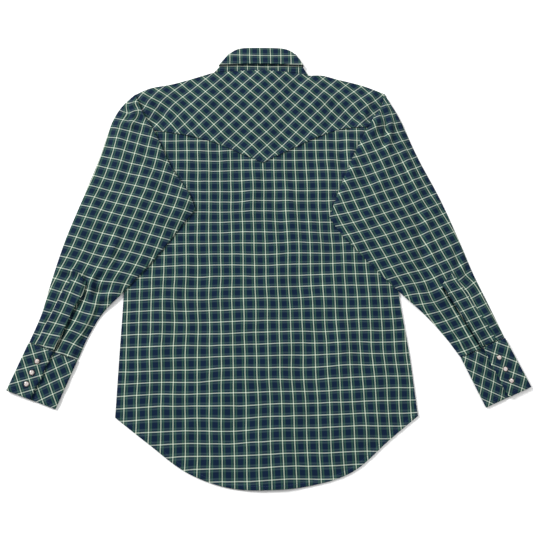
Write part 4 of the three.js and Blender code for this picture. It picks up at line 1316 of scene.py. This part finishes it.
class SHIRT_OT_plackets(bpy.types.Operator):
    """Lay the strip over each sleeve's slit"""

    bl_idname = "shirt.plackets"
    bl_label = "Sleeve Plackets"

    def execute(self, context):
        thick = context.scene.shirt_sizes.cloth / MM
        for side in SLEEVES:
            form = SleeveForm(side)
            start = 1 - PLACKET_LENGTH / form.length
            s, t = grid(shares(PLACKET_WIDTH, 1.6, (0.3, 1.0)), shares(PLACKET_LENGTH, 2.4, (0.3, 1.0)))
            v = start + (PLACKET_END - start) * t
            u = form.slit(v) - PLACKET_WIDTH / form.width(v) * (1 - s)
            base = form.top(u, v)
            open_edge = placket_opening(s, t)
            pinch = 0.25 * puckers(np.minimum(s, 1 - s) * PLACKET_WIDTH, t * PLACKET_LENGTH, 41, 5.0)
            low = base[..., 2] + PLACKET_LIFT + open_edge
            inner, outer = raised(base[..., :2], low), raised(base[..., :2], low + thick + pinch)
            soften(outer, inner)
            cloth = form.cloth(base[..., :2]) + np.array(PLACKET_SHIFT)
            piece = cloth_mesh("cloth_placket_" + side, outer, inner, cloth)
            dress(piece, "woven_cotton_plaid", ["placket_" + side])
        return {"FINISHED"}


# Cuffs


def cuff_path(width, lap):
    """The cuff's path over its width, as rows of place, height, their inward ways and run."""
    outer_radius, inner_radius = CUFF_OVER_LAP / 2, CUFF_TOP_WALL / 2
    rows = []
    for w in np.linspace(lap, outer_radius, CUFF_LAP_ROWS):
        rows.append((w, CUFF_OVER_LAP, 0.0, 1.0))
    for turn in range(70, -90, -20):
        a = math.radians(turn)
        rows.append(
            (outer_radius * (1 - math.cos(a)), outer_radius * (1 + math.sin(a)), -math.cos(a), math.sin(a))
        )
    for w in np.linspace(outer_radius, width - inner_radius, 14):
        rows.append((w, 0.0, 0.0, -1.0))
    for turn in range(-70, 90, 20):
        a = math.radians(turn)
        rows.append(
            (
                width - inner_radius * (1 - math.cos(a)),
                inner_radius * (1 + math.sin(a)),
                math.cos(a),
                math.sin(a)
            )
        )
    for w in np.linspace(width - inner_radius, CUFF_UNDER_LAP, 56):
        rows.append((w, CUFF_TOP_WALL, 0.0, 1.0))
    rows = np.array(rows)
    run = np.concatenate([[0], np.cumsum(np.hypot(np.diff(rows[:, 0]), np.diff(rows[:, 1])))])
    return rows, run


def cuff_relief(side, place, from_lap, t, on_lap):
    """Height over a cuff's own path: thin at its seams, full between them, and open at the lap."""
    near = np.minimum(t, 1 - t) * CUFF_DEPTH
    wave = 0.35 * waves(place[:, 0], place[:, 1], 51, 24.0) + creases(
        CUFF_CREASES[side], place[:, 0], place[:, 1]
    )
    uneven = 0.8 + 0.4 * waves(CUFF_DEPTH * t + 0 * from_lap, 0 * from_lap, 52, 30.0, count=6)
    lifted = CUFF_OPENING[side] * uneven * np.exp(-((from_lap / 9) ** 2))
    sunk = -0.9 * CUFF_OPENING[side] * np.exp(-(((from_lap - 2.5) / 5) ** 2))
    return 0.45 * ease(near / 9) + wave * ease(near / 7 + 0.15) + np.where(on_lap, lifted, sunk)


def bias_map(points, bias):
    """Cloth coordinates of plan points from a crossing of pale lines and one repeat each way."""
    repeat = bpy.context.scene.shirt_plaid.repeat / MM
    steps = np.array([[bias.weft_x, bias.warp_x], [bias.weft_y, bias.warp_y]])
    return (points - np.array([bias.x, bias.y])) @ np.linalg.inv(steps).T * repeat


def cuff_lines(side, ts):
    """For shares down the cuff: its outer edge, the way across and its width."""
    corners = CUFFS[side]
    line = lambda a, b: np.array(a) + (np.array(b) - np.array(a)) * ts[:, None]
    outer, inner = line(corners.seam_outer, corners.end_outer), line(corners.seam_inner, corners.end_inner)
    width = np.linalg.norm(inner - outer, axis=-1)
    return outer, (inner - outer) / width[:, None], width


class SHIRT_OT_cuffs(bpy.types.Operator):
    """Close both cuffs, each a band cut on the bias that laps on itself"""

    bl_idname = "shirt.cuffs"
    bl_label = "Cuffs"

    def execute(self, context):
        for side in CUFFS:
            ts = shares(CUFF_DEPTH, 2.6, (0.4, 1.2, 2.2))
            start, way, width = cuff_lines(side, ts)
            outer, inner, cloth = [], [], []
            for i, t in enumerate(ts):
                uneven = float(waves(np.float64(CUFF_DEPTH * t), 0.0, CUFF_WAVE_SEEDS[side], 34.0, count=5))
                wavy = CUFF_LAP * width[i] + CUFF_LAP_WAVE * uneven
                rows, run = cuff_path(width[i], wavy)
                place = start[i] + way[i] * rows[:, :1]
                on_lap = np.arange(len(rows)) < CUFF_LAP_ROWS
                top_side = (rows[:, 3] > 0.9) * 1.0
                z = rows[:, 1] + top_side * cuff_relief(side, place, rows[:, 0] - wavy, t, on_lap)
                outer.append(raised(place, z))
                inside = place - way[i] * (rows[:, 2:3] * CUFF_CLOTH)
                inner.append(raised(inside, z - rows[:, 3] * CUFF_CLOTH))
                # Rolled out from the lap's edge, and from the under-lap's end on the far side
                lap_out = start[i] + way[i] * (rows[0, 0] - run)[:, None]
                under_out = start[i] + way[i] * (CUFF_UNDER_LAP + run[-1] - run)[:, None]
                is_lap = np.arange(len(rows)) < CUFF_LAP_ROWS + CUFF_UNDER_ROWS
                lap_map, under_map = (
                    bias_map(points, bias) for points, bias in zip((lap_out, under_out), CUFF_BIAS[side])
                )
                cloth.append(np.where(is_lap[:, None], lap_map, under_map))
            outer, inner, cloth = np.stack(outer), np.stack(inner), np.stack(cloth)
            soften(outer, inner, keep=0.5)
            piece = cloth_mesh("cloth_cuff_" + side, outer, inner, cloth)
            dress(piece, "woven_cotton_plaid", ["cuff_" + side])
        return {"FINISHED"}


# Collar


def ring_points(ring, fronts=22, folds=8, backs=56):
    """One collar ring from its left front end round to its right one: points, the way into the
    cloth, and the cloth's own x as if the ring were rolled out."""
    radius, middle = (ring.top - ring.under) / 2, (ring.top + ring.under) / 2
    at, into, unrolled = [], [], []
    quarter = radius * math.pi / 2

    def front(side, order):
        fold = (ring.left if side < 0 else ring.right)[0]
        for share in order:
            x, y = front_run(ring, side, np.asarray(share))
            at.append((x, y, ring.under))
            into.append((0, 0, 1))
            unrolled.append(2 * (fold - side * radius) - x + side * 2 * quarter)

    def fold_round(fold, side, order):
        for share in order:
            turn = math.radians(-90 + 180 * share)
            out = (side * math.cos(turn), 0, math.sin(turn))
            at.append((fold[0] - side * radius + out[0] * radius, fold[1], middle + out[2] * radius))
            into.append((-out[0], 0, -out[2]))
            unrolled.append(fold[0] - side * radius + side * radius * math.pi * (1 - share))

    front(-1, np.linspace(0, 1, fronts + 1)[:-1])
    fold_round(ring.left, -1, np.linspace(0, 1, folds + 1))
    for t in np.linspace(0, 1, backs + 1)[1:-1]:
        x, y = back_run(ring, np.asarray(t))
        at.append((x, y, ring.top))
        into.append((0, 0, -1))
        unrolled.append(x)
    fold_round(ring.right, 1, np.linspace(0, 1, folds + 1)[::-1])
    front(1, np.linspace(0, 1, fronts + 1)[:-1][::-1])
    return np.array(at, float), np.array(into, float), np.array(unrolled, float)


def collar_strip(near, far, thick, crown, lift, vs):
    """The strip between two rings, with a crown along its back and a lift at its free edge."""
    (at_a, into_a, flat_a), (at_b, into_b, flat_b) = ring_points(near), ring_points(far)
    t = vs[None, :, None]
    at = at_a[:, None] * (1 - t) + at_b[:, None] * t
    into = into_a[:, None] * (1 - t) + into_b[:, None] * t
    into /= np.linalg.norm(into, axis=-1, keepdims=True)
    on_back = clamp(-into[..., 2] * 3 - 1.5)
    s = vs[None, :]
    wave = 0.35 * waves(at[..., 0], at[..., 1], 61, 42.0) * s
    at[..., 2] += on_back * (crown * 4 * s * (1 - s) + lift * s**2 + wave)
    flat_x = flat_a[:, None] * (1 - s) + flat_b[:, None] * s
    return at, at + into * thick, np.stack([flat_x, at[..., 1]], -1)


class SHIRT_OT_collar(bpy.types.Operator):
    """Roll the collar: a stand, and a leaf folded down over it"""

    bl_idname = "shirt.collar"
    bl_label = "Collar"

    def execute(self, context):
        stand = (STAND_SEAM, STAND_TOP, STAND_CLOTH, 0.0, 0.0)
        leaf = (LEAF_ROLL, LEAF_EDGE, LEAF_CLOTH, LEAF_CROWN, LEAF_LIFT)
        plans = (
            ("collar_stand", stand, STAND_GRAIN, (0.452, 0.05), ["cloth_back_yoke", "cloth_front_left"]),
            ("collar_leaf", leaf, LEAF_GRAIN, (0.47, 0.074), ["cloth_collar_stand"]),
        )
        for node, form, grain, flat, below in plans:
            vs = shares(42, 2.2, (0.4, 1.1, 5.4, 6.0, 6.6))
            outer, inner, cloth = collar_strip(*form, vs)
            soften(outer, inner, keep=0.4)
            piece = cloth_mesh("cloth_" + node, outer, inner, grain_map(cloth, grain))
            dress(piece, "woven_cotton_plaid", [node])
        return {"FINISHED"}


# Snaps


def lathe(name, profile, sides, centre):
    """A closed round body from a profile of radius and height in mm, starting and ending on its axis."""
    points = [(0.0, 0.0, profile[0][1])]
    for r, z in profile[1:-1]:
        points += [
            (r * math.cos(math.tau * k / sides), r * math.sin(math.tau * k / sides), z) for k in range(sides)
        ]
    points.append((0.0, 0.0, profile[-1][1]))
    rings = len(profile) - 2
    faces = [[0, 1 + (k + 1) % sides, 1 + k] for k in range(sides)]
    for j in range(rings - 1):
        low, high = 1 + j * sides, 1 + (j + 1) * sides
        faces += [[low + k, low + (k + 1) % sides, high + (k + 1) % sides, high + k] for k in range(sides)]
    last, top = 1 + (rings - 1) * sides, len(points) - 1
    faces += [[top, last + k, last + (k + 1) % sides] for k in range(sides)]
    return new_object(name, [tuple(MM * np.array(p) + np.array(centre)) for p in points], faces)


class SHIRT_OT_snaps(bpy.types.Operator):
    """Set the pearl snaps on the cuffs and down the front"""

    bl_idname = "shirt.snaps"
    bl_label = "Pearl Snaps"

    def execute(self, context):
        sides = context.scene.shirt_snaps.sides
        names = [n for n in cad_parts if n.startswith(("cuff_snap_", "front_snap_"))]
        for name in sorted(names):
            low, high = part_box(name)
            middle = (low + high) / 2
            radius = (high.x - low.x) / 2 / MM
            on_cuff = name.startswith("cuff")
            base = Vector((middle.x, middle.y, low.z if on_cuff else high.z))
            tall = (high.z - low.z) / MM
            turn_over = 1.0 if on_cuff else -1.0
            inner = radius * 0.76
            ring = [
                (0, 0), (radius - 0.5, 0), (radius, 0.25), (radius, 0.5), (radius - 0.12, tall * 0.42),
                (radius - 0.4, tall * 0.52)
            ]
            ring += [
                (inner + 0.5, tall * 0.56), (inner + 0.2, tall * 0.5), (inner + 0.05, tall * 0.3),
                (0, tall * 0.3)
            ]
            cap = [
                (0, tall * 0.32), (inner - 0.35, tall * 0.32), (inner - 0.2, tall * 0.5),
                (inner - 0.22, tall * 0.62)
            ]
            cap += [
                (
                    inner * 0.94 * math.cos(a), tall * (0.62 + 0.38 * math.sin(a))
                ) for a in np.radians([12, 25, 40, 55, 70])
            ] + [(0, tall)]
            for part, profile, finish in (
                ("ring", ring, "stamped_nickel"), ("pearl", cap, "moulded_pearl_acrylic")
            ):
                flipped = [(r, turn_over * z) for r, z in profile]
                flipped = flipped if on_cuff else flipped[::-1]
                piece = lathe(f"{name}_{part}", flipped, sides, base)
                dress(piece, finish, [name])
        return {"FINISHED"}


# Sewing


def stitches(name, rows, up=1.0):
    """Stitches along rows of points, each a short thread that dips into the cloth at both ends."""
    sizes = bpy.context.scene.shirt_sizes
    pitch, radius = sizes.stitch / MM, sizes.thread / MM / 2
    points, faces = [], []
    around, shape = 5, ((0.0, -0.30, 0.7), (0.3, 0.06, 1.0), (0.7, 0.06, 1.0), (1.0, -0.30, 0.7))
    for row in rows:
        run = np.concatenate([[0], np.cumsum(np.linalg.norm(np.diff(row, axis=0), axis=1))])
        for start in np.arange(pitch * 0.5, run[-1] - pitch, pitch):
            ends = [
                np.array(
                    [np.interp(start + pitch * 0.82 * s, run, row[:, k]) for k in range(3)]
                ) for s in (0, 1)
            ]
            ahead = ends[1] - ends[0]
            ahead /= np.linalg.norm(ahead)
            beside = np.cross(ahead, (0, 0, 1))
            beside /= np.linalg.norm(beside)
            base = len(points)
            for share, lift, thin in shape:
                middle = ends[0] + (ends[1] - ends[0]) * share + np.array([0, 0, up * lift])
                for k in range(around):
                    turn = math.tau * k / around
                    points.append(
                        middle + radius * thin * (beside * math.cos(turn) + np.array([0, 0, math.sin(turn)]))
                    )
            for j in range(len(shape) - 1):
                for k in range(around):
                    a, b = base + j * around + k, base + j * around + (k + 1) % around
                    faces.append([a, b, b + around, a + around])
            faces.append([base + k for k in reversed(range(around))])
            faces.append([base + (len(shape) - 1) * around + k for k in range(around)])
    made = new_object(name, (np.array(points) * MM).tolist(), faces)
    return dress(made, "spun_polyester_thread", [])


def beside_curve(points, distance):
    """A line beside a curve, to its left by the distance."""
    ahead = np.gradient(points, axis=0)
    ahead /= np.linalg.norm(ahead, axis=-1, keepdims=True)
    return points + np.stack([-ahead[:, 1], ahead[:, 0]], -1) * distance


def on_body(points, top):
    """A line of plan points on a surface."""
    return raised(points, top(points[:, 0], points[:, 1]))


class SHIRT_OT_stitching(bpy.types.Operator):
    """Sew the visible rows of stitches"""

    bl_idname = "shirt.stitching"
    bl_label = "Stitching"

    def execute(self, context):
        hem_depth = context.scene.shirt_sizes.hem / MM
        fine = np.linspace(0, 1, 400)
        hem = smooth(HEM)(fine[2:-2])
        stitches("stitching_hem", [on_body(beside_curve(hem, hem_depth), back_top)])
        yoke_rows = []
        for rows in (YOKE_POINT_LEFT, YOKE_POINT_RIGHT):
            line = smooth(rows)(fine)
            for distance in (1.8, 7.6):
                inside = beside_curve(line, distance)
                yoke_rows.append(on_body(inside[4:-4], yoke_top))
        stitches("stitching_yoke", yoke_rows)
        arm_rows = []
        for side, way in (("left", 1), ("right", -1)):
            head = smooth(SLEEVES[side].head)(np.linspace(0.06, 0.99, 300))
            arm_rows.append(on_body(beside_curve(head, way * 6.0), body_top))
        stitches("stitching_armholes", arm_rows)
        for side in SLEEVES:
            form = SleeveForm(side)
            head = form.top(np.linspace(0.03, 0.98, 260), np.full(260, 1.8 / form.length))
            head[:, 2] -= 0.1
            stitches("stitching_sleeve_" + side, [head])
        self.sew_collar()
        self.sew_plackets(context)
        self.sew_cuffs()
        return {"FINISHED"}

    def sew_collar(self):
        outer, _, _ = collar_strip(
            LEAF_ROLL, LEAF_EDGE, LEAF_CLOTH, LEAF_CROWN, LEAF_LIFT, np.array([0.0, 0.84, 1.0])
        )
        stitches("stitching_collar_leaf", [outer[COLLAR_BACK, 1]])
        outer, _, _ = collar_strip(STAND_SEAM, STAND_TOP, STAND_CLOTH, 0.0, 0.0, np.array([0.0, 0.05, 1.0]))
        stitches("stitching_collar_stand", [outer[COLLAR_BACK, 1]])

    def sew_plackets(self, context):
        thick = context.scene.shirt_sizes.cloth / MM
        for side in SLEEVES:
            form = SleeveForm(side)
            start = 1 - PLACKET_LENGTH / form.length
            rows = []
            ends = {"left edge": (0.07, 0.07, 0.03, 0.98), "right edge": (0.93, 0.93, 0.03, 0.98)}
            ends |= {"top": (0.07, 0.93, 0.018, 0.018), "bar": (0.07, 0.93, 0.12, 0.12)}
            for s0, s1, t0, t1 in ends.values():
                s, t = np.linspace(s0, s1, 80), np.linspace(t0, t1, 80)
                v = start + (PLACKET_END - start) * t
                u = form.slit(v) - PLACKET_WIDTH / form.width(v) * (1 - s)
                row = form.top(u, v)
                row[:, 2] += PLACKET_LIFT + thick + placket_opening(s, t)
                rows.append(row)
            stitches("stitching_placket_" + side, rows)

    def sew_cuffs(self):
        for side in CUFFS:
            rows = []
            for t in (0.022, 0.072, 0.93):
                start, way, width = cuff_lines(side, np.array([t]))
                for low, high, z in (
                    (0.06, CUFF_LAP - 0.06, CUFF_OVER_LAP), (CUFF_LAP + 0.02, 0.95, CUFF_TOP_WALL)
                ):
                    w = np.linspace(low, high, 40) * width[0]
                    rows.append(
                        self.on_cuff(side, start[0] + way[0] * w[:, None], w - CUFF_LAP * width[0], t, z)
                    )
            ts = np.linspace(0.07, 0.93, 50)
            start, way, width = cuff_lines(side, ts)
            place = start + way * ((CUFF_LAP * width - 6.0)[:, None])
            rows.append(self.on_cuff(side, place, np.full(50, -6.0), ts, CUFF_OVER_LAP))
            stitches("stitching_cuff_" + side, rows)

    def on_cuff(self, side, place, from_lap, t, z):
        return raised(place, z + cuff_relief(side, place, from_lap, t, z == CUFF_OVER_LAP))


# Studio


def place_camera():
    """Puts the camera where the photograph was taken from."""
    data = bpy.data.cameras.new("camera")
    data.sensor_width = SENSOR_WIDTH
    data.lens = FOCAL_PIXELS / PICTURE_PIXELS * SENSOR_WIDTH
    camera = bpy.data.objects.new("camera", data)
    bpy.context.scene.collection.objects.link(camera)
    forward = Vector(CAMERA_FORWARD).normalized()
    right = forward.cross(Vector(CAMERA_UP)).normalized()
    up = right.cross(forward)
    camera.matrix_world = Matrix.Translation(CAMERA_PLACE) @ Matrix((right, up, -forward)).transposed().to_4x4()
    bpy.context.scene.camera = camera


class SHIRT_OT_stage(bpy.types.Operator):
    """Set the camera, lay the floor and hang the soft lights"""

    bl_idname = "shirt.stage"
    bl_label = "Stage"

    def execute(self, context):
        place_camera()
        studio = context.scene.shirt_studio
        ways = ((-1, -1), (1, -1), (1, 1), (-1, 1))
        corners = [(x * FLOOR_HALF, y * FLOOR_HALF, FLOOR_LEVEL) for x, y in ways]
        floor = new_object("floor", corners, [(0, 1, 2, 3)], smooth_shaded=False)
        floor.data.materials.append(finish_named("seamless_paper"))
        for name, (place, width), power in (
            ("key_light", KEY_LIGHT, studio.key),
            ("fill_light", FILL_LIGHT, studio.fill),
        ):
            data = bpy.data.lights.new(name, "AREA")
            data.shape, data.size, data.energy = "SQUARE", width, power
            lamp = bpy.data.objects.new(name, data)
            lamp.location = place
            lamp.rotation_euler = (-Vector(place)).to_track_quat("-Z", "Y").to_euler()
            context.scene.collection.objects.link(lamp)
        world = bpy.data.worlds.new("studio_sky")
        world.use_nodes = True
        world.node_tree.nodes["Background"].inputs["Color"].default_value = (1, 1, 1, 1)
        world.node_tree.nodes["Background"].inputs["Strength"].default_value = studio.sky
        context.scene.world = world
        context.scene.view_settings.view_transform = "Standard"
        return {"FINISHED"}


class SHIRT_PT_panel(bpy.types.Panel):
    """The shirt's steps and settings"""

    bl_idname = "SHIRT_PT_panel"
    bl_label = "Western Snap Shirt"
    bl_space_type = "VIEW_3D"
    bl_region_type = "UI"
    bl_category = "Shirt"

    def draw(self, context):
        for step in STEPS:
            self.layout.operator(step.bl_idname)
        for name in SETTINGS:
            group = getattr(context.scene, name)
            box = self.layout.box()
            for key in group.__annotations__:
                box.prop(group, key)


SETTINGS = {
    "shirt_sizes": ShirtSizes,
    "shirt_plaid": ShirtPlaid,
    "shirt_snaps": ShirtSnaps,
    "shirt_studio": ShirtStudio,
}
STEPS = (
    SHIRT_OT_stage,
    SHIRT_OT_fronts,
    SHIRT_OT_back_panel,
    SHIRT_OT_back_yoke,
    SHIRT_OT_collar,
    SHIRT_OT_sleeves,
    SHIRT_OT_plackets,
    SHIRT_OT_cuffs,
    SHIRT_OT_snaps,
    SHIRT_OT_stitching,
)


def register():
    """Registers the settings, the steps and the panel."""
    for group in SETTINGS.values():
        bpy.utils.register_class(group)
    for name, group in SETTINGS.items():
        setattr(bpy.types.Scene, name, PointerProperty(type=group))
    for step in (*STEPS, SHIRT_PT_panel):
        bpy.utils.register_class(step)


def unregister():
    """Takes them all away again."""
    for step in reversed((*STEPS, SHIRT_PT_panel)):
        bpy.utils.unregister_class(step)
    for name in SETTINGS:
        delattr(bpy.types.Scene, name)
    for group in reversed(SETTINGS.values()):
        bpy.utils.unregister_class(group)


def main():
    register()
    for step in STEPS:
        family, name = step.bl_idname.split(".")
        getattr(getattr(bpy.ops, family), name)()


if __name__ == "__main__":
    main()
